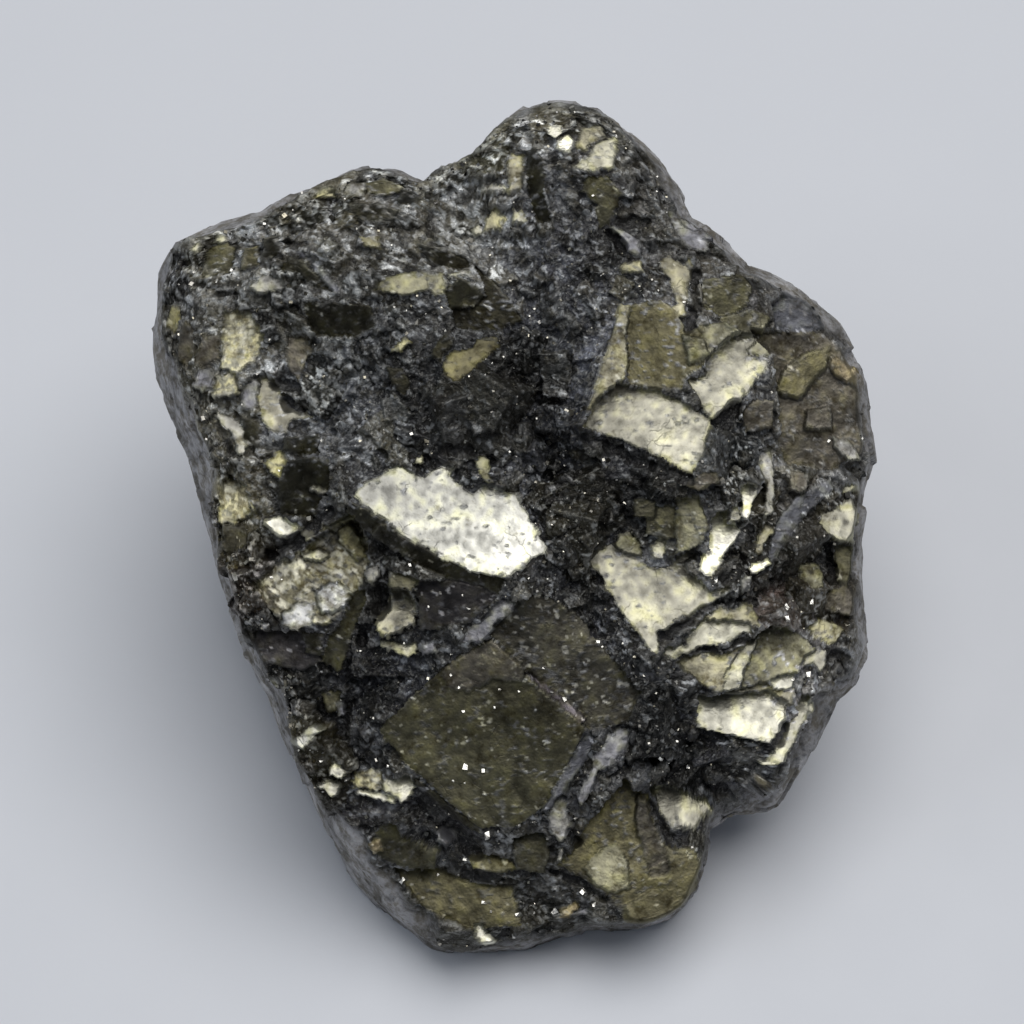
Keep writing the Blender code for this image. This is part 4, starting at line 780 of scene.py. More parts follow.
# Flecks' colour, its strength at their edge and the gain to their middle, and their height (mm).
FLECK_COLOUR = (0.345, 0.358, 0.365)
FLECK_GLOW = (0.55, 1.25)
FLECK_RISE = 0.018
FLECK_EDGE = 0.25
FLECK_METAL = 0.6
FLECK_GLOSS = 0.48
FLECKS_ON_GROWN_MATRIX = 0.1
# How much of the hue beneath them flecks take on: on matrix, and on crystal faces.  A point
# with more grit than this is matrix.
FLECK_HUES = (0.25, 0.7)
MATRIX_GRIT = 0.6
# The hollows between flecks: ranks over which they deepen, and how much painted shade darkens them.
HOLLOW_RANKS = (0.35, 0.05)
HOLLOW_SHADE = 0.6

# Roughness, metal, grit and grime of the rock, and how much the walls differ.
ROCK_GLOSS = 0.56
WALL_GLOSS_MORE = 0.12
ROCK_METAL = 0.30
WALL_GRIT_LESS = 0.45
ROCK_GRIME = 0.5
# Strong washes of light and dark over the matrix: (size, strength, noise place).
MATRIX_WASHES = (
    (0.75, 1.1, (4.0, 6.0, 1.0)),
    (0.26, 0.8, (8.0, 2.0, 5.0)),
    (0.11, 0.7, (1.0, 5.0, 9.0)),
)
# The broad regions keep off the walls, over these shares of the face.
TONE_EASE = (0.2, 0.9)

# Sizes (mm) of the noise that breaks a crystal's border, and of its broad and small unevenness.
RAGGED_SIZES = (0.50, 0.16)
BROAD_SIZE = 0.75
SMALL_SIZE = 0.26
WAVE_SIZE = 1.4
# Heights (mm) of the waves and unevenness of a crystal face, and how far its border sinks.
WAVE_RISE = 0.05
BROAD_RISE = 0.03
SMALL_RISE = 0.01
BORDER_SINK = 0.03
BORDER_SINK_EASE = (-0.06, 0.02)
# Matrix grown over a crystal: sizes (mm) of its two patterns, their strengths, its soft edge,
# its height (mm) and how much of the rock's colour it has.
GROWTH_SIZES = (0.60, 0.20)
GROWTH_STRETCH = (1.0, 1.7, 1.0)
GROWTH_BROAD = 0.7
GROWTH_AT_BORDER = 0.12
GROWTH_EASE = (-0.26, 0.20)
GROWTH_RISE = 0.03
GROWTH_COLOUR = 0.60

# Height (mm) of a crystal face over the rock around it, more for small crystals.
CRYSTAL_RISE = 0.05
SMALL_CRYSTAL_RISE = 2.5
SMALL_CRYSTAL_RADIUS = (2.6, 1.6)
# Highest step of a crystal face over the rock, in mm, and the share cut from what is over it.
HIGH_STEP = 0.7
HIGH_STEP_CUT = 0.65
# Rays flatter to a crystal's face than this miss it.
LEAST_SLOPE = 0.15
# How far (mm) a crystal, its lap and a crack reach past their own outlines.
CRYSTAL_MARGIN = 1.2
LAP_MARGIN = 1.6
PIT_MARGIN = 0.8
# Painted light: crystal faces are painted lighter this way over their width, and darker the other
# way, by this share.
PAINTED_LIGHT_RUN = (0.6, -0.8)
PAINTED_LIGHT_GRADIENT = 0.35

# Lighter and darker places on the crystal faces, partly their own tone and partly painted light and
# shade, such as the bright block's darker upper left and lighter lower right: (u, v, spread u,
# spread v, factor).
FACE_TONE_AND_PAINTED_LIGHT = (
    (-1.7, -7.4, 1.0, 0.7, 1.45),
    (-2.9, -6.4, 0.5, 0.5, 1.3),
    (0.8, -5.6, 0.9, 0.8, 0.72),
    (-0.3, -6.1, 0.9, 0.4, 0.85),
    (-1.5, -4.6, 0.7, 0.5, 1.3),
    (1.6, -3.2, 0.9, 0.5, 1.25),
    (3.1, -5.3, 0.5, 0.5, 0.75),
    (-3.7, 1.1, 0.8, 0.5, 0.72),
    (0.0, -0.5, 0.9, 0.5, 1.35),
    (-1.1, 1.0, 0.6, 0.3, 0.75),
    (2.7, 3.4, 0.5, 0.4, 0.75),
    (5.2, 2.4, 0.6, 0.5, 1.2),
    (3.2, -0.5, 0.5, 0.3, 0.6),
    (4.5, -1.6, 0.6, 0.3, 0.78),
    (3.9, -2.9, 0.4, 0.6, 1.25),
    (7.7, -5.8, 0.5, 0.4, 1.25),
    (6.9, -5.3, 0.8, 0.2, 0.8),
    (4.3, 5.6, 0.6, 0.6, 0.7),
    (4.9, 6.8, 0.5, 0.3, 1.4),
    (8.0, -3.5, 0.7, 0.3, 0.75),
    (6.2, -4.6, 0.5, 0.4, 1.25),
    (3.1, -10.4, 0.6, 0.8, 1.25),
    (4.8, -11.2, 0.7, 0.6, 0.75),
)

# Single bright grains: (u, v, size), and the way they lean.
GLINTS = (
    (8.62, -2.45, 0.36), (8.55, -2.82, 0.28), (9.3, -2.3, 0.28), (9.18, -4.66, 0.32),
    (9.63, -4.7, 0.24), (8.8, -4.7, 0.22), (3.2, 12.05, 0.2), (6.35, 8.97, 0.18),
    (1.25, -11.85, 0.4), (2.1, -11.4, 0.32), (2.62, -11.75, 0.32), (-7.7, 9.35, 0.24),
    (-3.1, 9.87, 0.14), (-4.3, 9.15, 0.2), (-4.75, 9.33, 0.14), (-5.05, 9.0, 0.13),
    (-3.65, 8.67, 0.13), (-8.8, 7.97, 0.14), (-9.85, 7.85, 0.14), (-9.0, 7.58, 0.13),
    (-8.3, 7.3, 0.12), (-5.87, 2.65, 0.16), (-7.45, 5.75, 0.16), (-7.87, 4.68, 0.14),
    (-8.4, 3.78, 0.13), (-7.2, 1.67, 0.13), (-3.55, 6.83, 0.12), (-3.3, 6.6, 0.12),
    (-2.6, 6.55, 0.12), (0.7, 6.7, 0.14), (0.6, 6.52, 0.12), (-2.05, 6.05, 0.12),
    (-0.2, 5.2, 0.13), (-0.55, 4.95, 0.13), (-0.8, 4.6, 0.12), (0.7, 3.35, 0.12),
    (-3.1, 2.8, 0.2), (-1.1, 1.5, 0.16), (-0.05, 2.35, 0.12), (-7.4, -1.63, 0.18),
    (-7.12, -1.68, 0.14), (-5.43, -1.72, 0.2), (-2.2, -2.08, 0.2), (-1.5, -2.12, 0.14),
    (-1.3, -2.55, 0.18), (-3.2, -1.13, 0.16), (-1.0, -1.56, 0.14), (0.53, -1.57, 0.17),
    (0.15, -1.9, 0.15), (1.1, -1.6, 0.15), (-2.55, -2.5, 0.15), (2.7, -3.55, 0.18),
    (2.82, -3.72, 0.16), (3.4, -3.62, 0.14), (4.05, -4.57, 0.15), (-4.65, -3.85, 0.13),
    (-4.2, -3.85, 0.15), (-3.85, -3.95, 0.14), (-3.62, -3.4, 0.2), (-3.33, -3.6, 0.14),
    (-4.28, -5.88, 0.16), (-5.2, -5.35, 0.13), (-5.4, -4.55, 0.13), (-5.85, -7.25, 0.2),
    (-5.1, -7.83, 0.14), (-3.95, -7.35, 0.14), (-3.6, -7.5, 0.15), (-1.42, -7.42, 0.34),
    (-0.9, -7.55, 0.2), (-1.8, -7.85, 0.14), (-1.45, -7.9, 0.13), (-1.97, -8.88, 0.18),
    (-0.85, -9.55, 0.32), (-0.5, -9.42, 0.18), (0.3, -9.2, 0.26), (0.85, -8.97, 0.22),
    (0.7, -9.17, 0.14), (1.88, -9.0, 0.17), (1.05, -9.63, 0.18), (2.52, -8.66, 0.22),
    (-1.58, -10.28, 0.34), (-2.13, -10.42, 0.15), (-1.62, -10.9, 0.16), (-2.22, -10.88, 0.14),
    (-0.2, -10.85, 0.2), (0.72, -10.78, 0.22), (-3.35, -10.95, 0.26), (-3.12, -10.7, 0.16),
    (-0.88, -11.72, 0.28), (-0.7, -11.98, 0.17), (0.12, -12.08, 0.26), (0.24, -11.7, 0.15),
    (0.8, -12.0, 0.13), (-0.05, -12.75, 0.2), (5.1, -6.57, 0.16), (4.82, -7.25, 0.22),
    (5.4, -7.45, 0.22), (4.65, -7.55, 0.14), (4.55, 7.25, 0.14), (5.35, 6.9, 0.14),
    (4.8, 10.95, 0.13), (4.55, 10.4, 0.13), (2.6, 10.2, 0.13), (9.9, 2.6, 0.2),
    (10.95, 2.8, 0.16), (6.28, -1.75, 0.22), (1.6, -5.2, 0.3), (1.3, -5.1, 0.14),
    (-1.65, -5.0, 0.18), (-0.4, -5.05, 0.17), (0.15, -5.07, 0.14), (-1.45, -5.75, 0.22),
    (-0.5, -5.62, 0.15), (0.95, -4.4, 0.14), (-1.85, -4.6, 0.14), (-1.85, -3.97, 0.15),
)
GLINT_TILT = (0.1, 0.38)

# Painted shade of holes and cracks, colours of grime and dust, and how strongly a hole takes its
# painted shade and its depth.
PIT_SHADE_COLOUR = (0.022, 0.02, 0.02)
GRIME_COLOUR = (0.4, 0.37, 0.3)
DUST_COLOUR = (0.26, 0.255, 0.24)
PIT_SHADE_STRENGTH = 0.65
PIT_DEPTH_SHARE = 0.7
# How a hole's line wanders (noise size, distance), and where its side starts and ends.
PIT_WANDER = (0.4, 0.12)
PIT_SIDE = (1.35, 0.45)

# Width (mm), in the face plane, of the smooth wall seen around the rim: (angle, width).
WALL_BANDS = (
    (-109, 1.15), (-97, 0.5), (-86, 0.4), (-75, 0.45), (-66, 0.3), (-50, 0.25), (-38, 0.65),
    (-30, 0.8), (-20, 0.45), (-10, 0.25), (5, 0.35), (15, 0.3), (32, 0.35), (48, 0.5),
    (62, 0.6), (72, 0.5), (84, 0.25), (98, 0.3), (110, 0.35), (124, 0.45), (132, 0.55),
    (144, 0.6), (153, 0.8), (159, 1.25), (167, 1.15), (174, 0.75), (179, 0.5), (186, 0.62),
    (198, 0.62), (210, 0.78), (221, 0.7), (230, 0.5), (237, 0.8), (243, 1.15),
)
# What grows out over the wall is pulled back to this share of the band.
TRIM_SHARE = 0.45
TRIM_EASE = (0.96, 1.0)
TRIM_GIVE = 0.05
# The rim is smoothed in this many rounds, its colour in a third of them, at these rates, where
# a point's share of face is between the two ramps.
RIM_STEPS = 24
RIM_RATE = 0.8
RIM_TINT_RATE = 0.6
RIM_FROM_WALL = (0.01, 0.10)
RIM_FROM_FACE = (0.97, 0.70)
# Rays at least this upright belong to the front.
FRONT_FROM = 0.3
# Share of face from which a point counts as touched by it, and as part of it.
FACE_TRACE = 0.02
FACE_MOSTLY = 0.6
# How the face fades into the wall: noise (size, height), over which width and which depth (mm).
BORDER_WANDER = (0.9, 0.35)
BORDER_EASE = (-0.12, 0.12)
BORDER_DEPTH = (-4.2, -3.0)

# Camera: the frame is this wide, in mm, at the crystal face.
LENS = 200.0
SENSOR = 36.0
FRAME_WIDTH = 31.744
FRAME_CENTRE_RISE = 0.496

# Lights: name, direction, distance (m), width (m), power (W), colour.
LIGHTS = (
    ("main_softbox", (0.16, 0.14, 0.98), 0.30, 0.34, 0.75, (1.0, 0.985, 0.96)),
    ("left_fill", (-0.80, -0.10, 0.60), 0.30, 0.20, 0.12, (0.90, 0.95, 1.0)),
)
ROOM_COLOUR = (0.80, 0.88, 1.0, 1.0)
ROOM_STRENGTH = 0.16
LIGHT_TARGET_HEIGHT = 8.0

# Floor: side (m), gap under the specimen (mm), and the two pale colours it is mixed from.
FLOOR_SIZE = 1.6
FLOOR_GAP = 0.01
FLOOR_COLOURS = ((0.70, 0.72, 0.77), (0.74, 0.76, 0.81))

# Fineness of the surface mesh, and how its points gather on the crystal face.
GEODESIC_STEPS = 172
FACE_SPAN = math.radians(122.0)
FACE_EDGE = 12.9
FACE_DOME = (5.75, 0.0205)
# The face is split into three meshes at these heights of the rays.
UPPER_FROM = 0.18
LOWER_UNDER = -0.35

# Rays are followed this far (mm) to find the rock, in this many halvings.
RAY_LENGTH = 24.0
RAY_HALVINGS = 16

# Crystals grow from roots this far below the rock's centre, less so near the rim.
ROOT_DROP = 90.0
ROOT_EASE = (-0.8, 0.0)
ROOT_DEPTH = (-4.6, -2.8)

# Small blocks all over the face: (count, smallest edge, largest edge, how deep they are set).
CUBE_FIELDS = (
    (420, 0.35, 0.80, 0.34),
    (160, 0.80, 1.50, 0.42),
    (34, 1.40, 2.40, 0.48),
    (240, 0.30, 0.70, 0.32),
)
CUBE_EDGE_BIAS = 1.6
CUBE_TONE_SPREAD = 0.35
CUBE_TONES = (0.02, 0.35)
CUBE_WARMTH = (0.0, 0.04, 0.22)
# Painted shade: each cube's three pairs of faces are painted at these brightnesses.
CUBE_SIDE_PAINTED_SHADE = (1.0, 0.82, 0.66)
CUBE_MARGIN = 0.4
CUBE_GLOSS = 0.50
CUBE_METAL = 0.60
CUBE_GRIT = 0.65
CUBE_GRIME = 0.45

# Worn ridges, lighter as rubbed metal and as painted highlight, and dark dents, as dirt and as
# painted
# shade: (smoothing steps, height in mm that counts, strength).
WEAR_AND_RELIEF_LIGHT_SCALES = (
    (1, 0.006, 0.40),
    (4, 0.020, 0.35),
    (16, 0.080, 0.45),
)
RIDGE_WEAR_AND_HIGHLIGHT_COLOUR = (0.30, 0.30, 0.29)
RIDGE_WEAR_AND_HIGHLIGHT_STRENGTH = 0.45
RIDGE_HEIGHTS = (0.15, 0.8)
DENT_DIRT_AND_SHADE_STRENGTH = 0.32

# Loose grains on the matrix: how many, their usual, smallest and largest size (mm), and colours.
GRAIN_COUNT = 2600
GRAIN_SIZE = 0.045
GRAIN_SIZES = (0.025, 0.16)
GRAIN_COLOUR = (1.0, 0.98, 0.95)
GRAIN_WARMTH = (0.0, 0.05, 0.22)
# A draw over the first limit makes a bright grain, over the second a middling one.
GRAIN_LIMITS = (0.94, 0.6)
GRAIN_TONES = (0.70, 0.38, 0.14)
GRAIN_POLISH = 0.1

# Glints: colour, shape of their cube, how their tilt and corners vary, and their lightness.
GLINT_COLOUR = (1.0, 0.98, 0.92)
GLINT_SHAPE = (0.6, 0.45, 0.5)
GLINT_LEAN = 0.05
GLINT_CHIPS = (0.45, 1.15)
GLINT_TONES = (0.35, 0.5)
GLINT_GLOSS = 0.3

# Cubes in the walls: bevel, longest mesh edge and relief, in mm, and their darker colour.
WALL_CUBE_BEVEL = 0.07
WALL_CUBE_MESH = 0.2
WALL_CUBE_RELIEF = 0.02
WALL_CUBE_TONE = 0.7

# Top (z) and front (y), in mm, past which bumps are pressed flat, and how firmly.
BOX_TOP = 16.5
BOX_FRONT = -11.95
BOX_PRESS = 0.8

# The material's patterns: sizes in mm, then widths or limits, then strengths.
DIRT_SIZES = (0.60, 0.16)
CRACK_SIZE = 0.95
CRACK_BEND = (0.40, 0.5)
CRACK_WIDTH = (0.030, 0.008)
CRACK_STRENGTH = 0.32
CRACK_DEPTH = 0.3
PORE_SIZE = 0.15
PORE_STRENGTH = 0.42
DUST_SIZE = 0.20
DUST_STRENGTH = 0.45
BUMP_SIZES = (0.10, 0.09)
BUMP_HEIGHT = 0.035

SEED = 11


def to_world(points):
    """World positions, in mm, of points given in the face frame."""
    sine = math.sin(FACE_ELEVATION)
    cosine = math.cos(FACE_ELEVATION)
    u, v, w = np.asarray(points, dtype=float).T
    y = v * sine - w * cosine + DEPTH_SHIFT
    z = v * cosine + w * sine + FACE_CENTRE_HEIGHT
    return np.stack((u, y, z), axis=1)


def turned(directions):
    """World directions of directions given in the face frame."""
    return to_world(directions) - to_world([(0.0, 0.0, 0.0)])


def outline_radius(angle):
    """Distance from the host's centre line to its outline, at an angle in the face plane."""
    points = np.array(OUTLINE) - np.array(HOST_CENTRE[:2])
    angles = np.arctan2(points[:, 1], points[:, 0])
    radii = np.hypot(points[:, 0], points[:, 1])
    order = np.argsort(angles)
    return np.interp(angle, angles[order], radii[order], period=2.0 * math.pi)


def rear_radius(angle):
    """Outline radius with its points worn off, as the walls have it towards the rear."""
    turns = np.linspace(-WALL_SPREAD, WALL_SPREAD, 9)
    return np.min([outline_radius(angle + turn) for turn in turns], axis=0)


def off_centre_line(u, v):
    """Distance and angle, in the face plane, from the host's centre line."""
    off_u = u - HOST_CENTRE[0]
    off_v = v - HOST_CENTRE[1]
    return np.hypot(off_u, off_v), np.arctan2(off_v, off_u)


def rim_shape(angle):
    """Depth (w) and inset of the rim between face and wall, at an angle in the face plane."""
    leftness = 0.5 - 0.5 * np.cos(angle + RIM_LEAN)
    depth = RIM_DEPTH_RIGHT + (RIM_DEPTH_LEFT - RIM_DEPTH_RIGHT) * leftness
    inset = RIM_INSET_RIGHT + (RIM_INSET_LEFT - RIM_INSET_RIGHT) * leftness ** 2
    return depth, inset


def bell(u, v, centre_u, centre_v, spread_u, spread_v):
    """One at a place of the face, falling smoothly to zero around it."""
    reach = ((u - centre_u) / spread_u) ** 2 + ((v - centre_v) / spread_v) ** 2
    return np.exp(-0.5 * reach)


def middle_and_radius(corners, margin):
    """Middle (u, v) of a few points, and the radius of a circle round them with a margin."""
    spans = np.array(corners)
    size = spans.max(axis=0) - spans.min(axis=0)
    return 0.5 * (spans.min(axis=0) + spans.max(axis=0)), 0.5 * np.hypot(*size) + margin


def segment_distance(u, v, start, end):
    """Distance in the face plane from a straight segment."""
    run = (end[0] - start[0]) ** 2 + (end[1] - start[1]) ** 2
    share = (u - start[0]) * (end[0] - start[0]) + (v - start[1]) * (end[1] - start[1])
    share = np.clip(share / run, 0.0, 1.0)
    off_u = u - start[0] - share * (end[0] - start[0])
    off_v = v - start[1] - share * (end[1] - start[1])
    return np.hypot(off_u, off_v)


def face_height(u, v):
    """Height w of the smooth rock face."""
    side = u - FACE_RIDGE_LINE
    drop = np.where(side < 0.0, FACE_DROP_LEFT, FACE_DROP_RIGHT) * side ** 2
    height = FACE_TOP - drop - FACE_DROP_ENDS * v ** 2
    for centre_u, centre_v, spread, rise in SWELLS:
        reach = (u - centre_u) ** 2 + (v - centre_v) ** 2
        height = height + rise * np.exp(-reach / (2.0 * spread ** 2))
    nearest = np.full(np.shape(u), 1e9)
    for start, end in zip(VALLEY_LINE[:-1], VALLEY_LINE[1:]):
        nearest = np.minimum(nearest, segment_distance(u, v, start, end))
    return height - VALLEY_DEPTH * np.exp(-0.5 * (nearest / VALLEY_WIDTH) ** 2)


def rock_height(u, v):
    """Height w of the smooth rock, sloping down to its rim."""
    distance, angle = off_centre_line(u, v)
    rim_depth, inset = rim_shape(angle)
    gap = np.clip(1.0 - distance / outline_radius(angle), 0.0, None)
    rim = rim_depth + (RIM_TOP - rim_depth) * (gap / inset) ** (1.0 / RIM_CURVE)
    return np.minimum(face_height(u, v), rim)


def crystal_plane(tilt, stand, corners):
    """Middle (u, v, w) and normal of a crystal's face."""
    middle_u = sum(corner[0] for corner in corners) / len(corners)
    middle_v = sum(corner[1] for corner in corners) / len(corners)
    rise = float(rock_height(middle_u, middle_v)) + stand
    forward = math.sqrt(1.0 - tilt[0] ** 2 - tilt[1] ** 2)
    return (middle_u, middle_v, rise), (tilt[0], tilt[1], forward)


def plane_height(u, v, middle, normal):
    """Height w of a crystal's face plane."""
    slope = (normal[0] * (u - middle[0]) + normal[1] * (v - middle[1])) / normal[2]
    return middle[2] - slope


def outside_distance(u, v, corners):
    """Distance in the face plane from an outline; negative inside it."""
    nearest = np.full(np.shape(u), 1e9)
    inside = np.zeros(np.shape(u), dtype=bool)
    for start, end in zip(corners, corners[1:] + corners[:1]):
        nearest = np.minimum(nearest, segment_distance(u, v, start, end))
        if start[1] != end[1]:
            crossing = start[0] + (v - start[1]) * (end[0] - start[0]) / (end[1] - start[1])
            inside ^= ((start[1] > v) != (end[1] > v)) & (u < crossing)
    return np.where(inside, -nearest, nearest)


def smooth_max(values, rounding):
    """Largest of several fields, with their meeting edges rounded."""
    stack = np.stack(values)
    top = stack.max(axis=0)
    return top + rounding * np.log(np.exp((stack - top) / rounding).sum(axis=0))


def host_fields(points):
    """Fields of the host rock, negative inside: wall, face, then the rear planes."""
    u, v, w = points.T
    off_axis, angle = off_centre_line(u, v)
    rim_depth, inset = rim_shape(angle)
    forward = np.clip((w - rim_depth) / (RIM_TOP - rim_depth), 0.0, RIM_REACH)
    backward = np.clip(rim_depth - w, 0.0, None)
    scale = 1.0 - inset * forward ** RIM_CURVE - WALL_TAPER * backward
    ease = np.clip(backward / WALL_EASE, 0.0, 1.0)
    radius = (1.0 - ease) * outline_radius(angle) + ease * rear_radius(angle)
    fields = [off_axis - radius * scale, w - face_height(u, v)]
    x, y, z = to_world(points).T
    for normal, distance in REAR_PLANES:
        length = math.sqrt(sum(part * part for part in normal))
        across = (x * normal[0] + y * normal[1] + (z - FACE_CENTRE_HEIGHT) * normal[2]) / length
        fields.append(across - distance)
    return fields


def smooth_noise(points, size, offset):
    """Smooth noise of a given size at points in mm."""
    shift = Vector(offset)
    return np.array([noise.noise(Vector(point) / size + shift) for point in points])


def rock_noise(points):
    """Height of the rock's unevenness at world points in mm."""
    height = np.zeros(len(points))
    for step, (size, rise) in enumerate(ROUGHNESS):
        offset = (7.3 * step, 3.1 * step, 5.7 * step)
        height += rise * smooth_noise(points, size, offset)
    return height


def grain_relief(points, size):
    """Relief of angular grains: each cell is a flat facet with its own slant and height."""
    relief = np.empty(len(points))
    for index, point in enumerate(points):
        place = Vector(point) / size
        near = noise.voronoi(place)[1][0]
        slant = noise.cell_vector(near * 37.0) - Vector((0.5, 0.5, 0.5))
        relief[index] = slant.dot(place - near) * GRAIN_SLANT + slant.x
    return relief


def ramp(values, low, high):
    """Zero below low, one above high, smooth between."""
    share = np.clip((values - low) / (high - low), 0.0, 1.0)
    return share * share * (3.0 - 2.0 * share)


def geodesic_sphere(steps):
    """Unit sphere of 20 x steps x steps triangles."""
    seed = bmesh.new()
    bmesh.ops.create_icosphere(seed, subdivisions=1, radius=1.0)
    corners = np.array([vertex.co for vertex in seed.verts])
    faces = np.array([[vertex.index for vertex in face.verts] for face in seed.faces])
    seed.free()
    rows = [(i, j) for i in range(steps + 1) for j in range(steps + 1 - i)]
    number = {place: index for index, place in enumerate(rows)}
    cells = []
    for i, j in rows:
        if i + j < steps:
            cells.append((number[i, j], number[i + 1, j], number[i, j + 1]))
        if i + j < steps - 1:
            cells.append((number[i + 1, j], number[i + 1, j + 1], number[i, j + 1]))
    grid = np.array(rows) / steps
    shares = np.stack((1.0 - grid.sum(axis=1), grid[:, 0], grid[:, 1]), axis=1)
    points = np.concatenate([shares @ corners[face] for face in faces])
    points /= np.linalg.norm(points, axis=1)[:, None]
    cells = np.array(cells)
    triangles = np.concatenate([cells + len(rows) * face for face in range(len(faces))])
    _, first, merged = np.unique(np.round(points, 6), axis=0, return_index=True,
                                 return_inverse=True)
    return points[first], merged.reshape(-1)[triangles]


def face_edge_angle():
    """Angle off the face's axis at which the finely meshed face ends."""
    return math.atan2(FACE_EDGE, FACE_DOME[0] - FACE_DOME[1] * FACE_EDGE ** 2)


def sphere_rays():
    """Unit rays and triangles of a fine sphere, its rays gathered towards the crystal face."""
    rays, triangles = geodesic_sphere(GEODESIC_STEPS)
    polar = np.arccos(np.clip(rays[:, 2], -1.0, 1.0))
    around = np.arctan2(rays[:, 1], rays[:, 0])
    reach = FACE_EDGE * np.sin(0.5 * np.minimum(polar, FACE_SPAN)) / math.sin(0.5 * FACE_SPAN)
    on_face = np.arctan2(reach, FACE_DOME[0] - FACE_DOME[1] * reach ** 2)
    edge = face_edge_angle()
    behind = edge + (polar - FACE_SPAN) / (math.pi - FACE_SPAN) * (math.pi - edge)
    polar = np.where(polar < FACE_SPAN, on_face, behind)
    flat = np.sin(polar)
    rays = np.stack((flat * np.cos(around), flat * np.sin(around), np.cos(polar)), axis=1)
    return rays, triangles


def wall_band(angle):
    """Width of the wall seen around the face, at an angle in the face plane."""
    turns, widths = np.array(WALL_BANDS).T
    return np.interp(np.degrees(angle), turns, widths, period=360.0)


def rock_points(rays):
    """Surface points of the smooth rock in the face frame, and how much of each is face."""
    centre = np.array(HOST_CENTRE)
    near = np.zeros(len(rays))
    far = np.full(len(rays), RAY_LENGTH)
    for _ in range(RAY_HALVINGS):
        middle = 0.5 * (near + far)
        fields = host_fields(centre + rays * middle[:, None])
        outside = smooth_max(fields, EDGE_ROUNDING * ROUNDING_SHARE) > 0.0
        far = np.where(outside, middle, far)
        near = np.where(outside, near, middle)
    points = centre + rays * near[:, None]
    off_axis, angle = off_centre_line(points[:, 0], points[:, 1])
    inward = outline_radius(angle) - wall_band(angle) - off_axis
    inward += BORDER_WANDER[1] * smooth_noise(points, BORDER_WANDER[0], (5.0, 5.0, 1.0))
    return points, ramp(inward, *BORDER_EASE) * ramp(points[:, 2], *BORDER_DEPTH)


def growth_roots(points):
    """Where the rays of each point start: far below for the face, at the centre for walls."""
    off_axis, angle = off_centre_line(points[:, 0], points[:, 1])
    upright = ramp(outline_radius(angle) - off_axis, *ROOT_EASE)
    upright = upright * ramp(points[:, 2], *ROOT_DEPTH)
    return np.array(HOST_CENTRE) - np.outer(upright, (0.0, 0.0, ROOT_DROP))


def rough_rock(rays):
    """Rock points with their unevenness, lapped up to the crystals; face frame."""
    points, face_share = rock_points(rays)
    u, v = points[:, 0], points[:, 1]
    nearest = np.full(len(u), 1e9)
    lap = np.full(len(u), -1e9)
    for _, _, tilt, stand, corners in CRYSTALS:
        centre, radius = middle_and_radius(corners, LAP_MARGIN)
        close = np.flatnonzero((rays[:, 2] > 0.0)
                               & (np.hypot(u - centre[0], v - centre[1]) < radius))
        distance = outside_distance(u[close], v[close], corners)
        middle, normal = crystal_plane(tilt, stand, corners)
        height = plane_height(u[close], v[close], middle, normal) - BEDDING_GAP
        height = height - BEDDING_FALL * np.clip(distance, 0.0, None)
        lap[close] = np.maximum(lap[close], height)
        nearest[close] = np.minimum(nearest[close], distance)
    points[:, 2] += np.clip(lap - rock_height(u, v), 0.0, None) * face_share
    below = np.clip((RIM_DEPTH_LEFT - 1.0 - points[:, 2]) / SIDEWAYS_EASE, 0.0, 1.0)
    sideways = SIDEWAYS_SHARE + (1.0 - SIDEWAYS_SHARE) * below
    pushes = rays * np.stack((sideways, sideways, np.ones(len(rays))), axis=1)
    reach = np.clip(nearest / ROUGHNESS_REACH, 0.0, 1.0)
    calm = ROUGHNESS_AT_CRYSTALS + (1.0 - ROUGHNESS_AT_CRYSTALS) * reach
    calm = np.where(rays[:, 2] > 0.0, calm, 1.0)
    points = points + pushes * (calm * rock_noise(to_world(points)))[:, None]
    return points, face_share, nearest


def random_turns(draw, count):
    """Random rotation matrices."""
    spun = draw.normal(size=(count, 4))
    spun /= np.linalg.norm(spun, axis=1)[:, None]
    a, b, c, d = spun.T
    rows = (
        (1 - 2 * (c * c + d * d), 2 * (b * c - a * d), 2 * (b * d + a * c)),
        (2 * (b * c + a * d), 1 - 2 * (b * b + d * d), 2 * (c * d - a * b)),
        (2 * (b * d - a * c), 2 * (c * d + a * b), 1 - 2 * (b * b + c * c)),
    )
    return np.stack([np.stack(row, axis=1) for row in rows], axis=1)


def surface_normals(world, triangles):
    """Outward direction at each point, eased over its neighbours."""
    first, second, third = (world[triangles[:, corner]] for corner in range(3))
    faces = np.cross(second - first, third - first)
    for _ in range(3):
        points = np.stack([
            np.bincount(triangles.ravel(), weights=np.repeat(faces[:, axis], 3),
                        minlength=len(world)) for axis in range(3)], axis=1)
        points /= np.maximum(np.linalg.norm(points, axis=1), 1e-9)[:, None]
        faces = points[triangles].mean(axis=1)
    return points


def neighbour_mean(points, triangles):
    """Mean of the neighbours of every point of a mesh."""
    edges = np.concatenate((triangles[:, :2], triangles[:, 1:], triangles[:, ::2]))
    ends = np.concatenate((edges[:, 0], edges[:, 1]))
    others = np.concatenate((edges[:, 1], edges[:, 0]))
    count = np.bincount(ends, minlength=len(points))
    return np.stack([np.bincount(ends, weights=points[others, axis], minlength=len(points))
                     for axis in range(3)], axis=1) / count[:, None]


# What each point of the surface shows, read by the material.
POINT_VALUES = ("tint", "gloss", "metal", "grit", "grime")


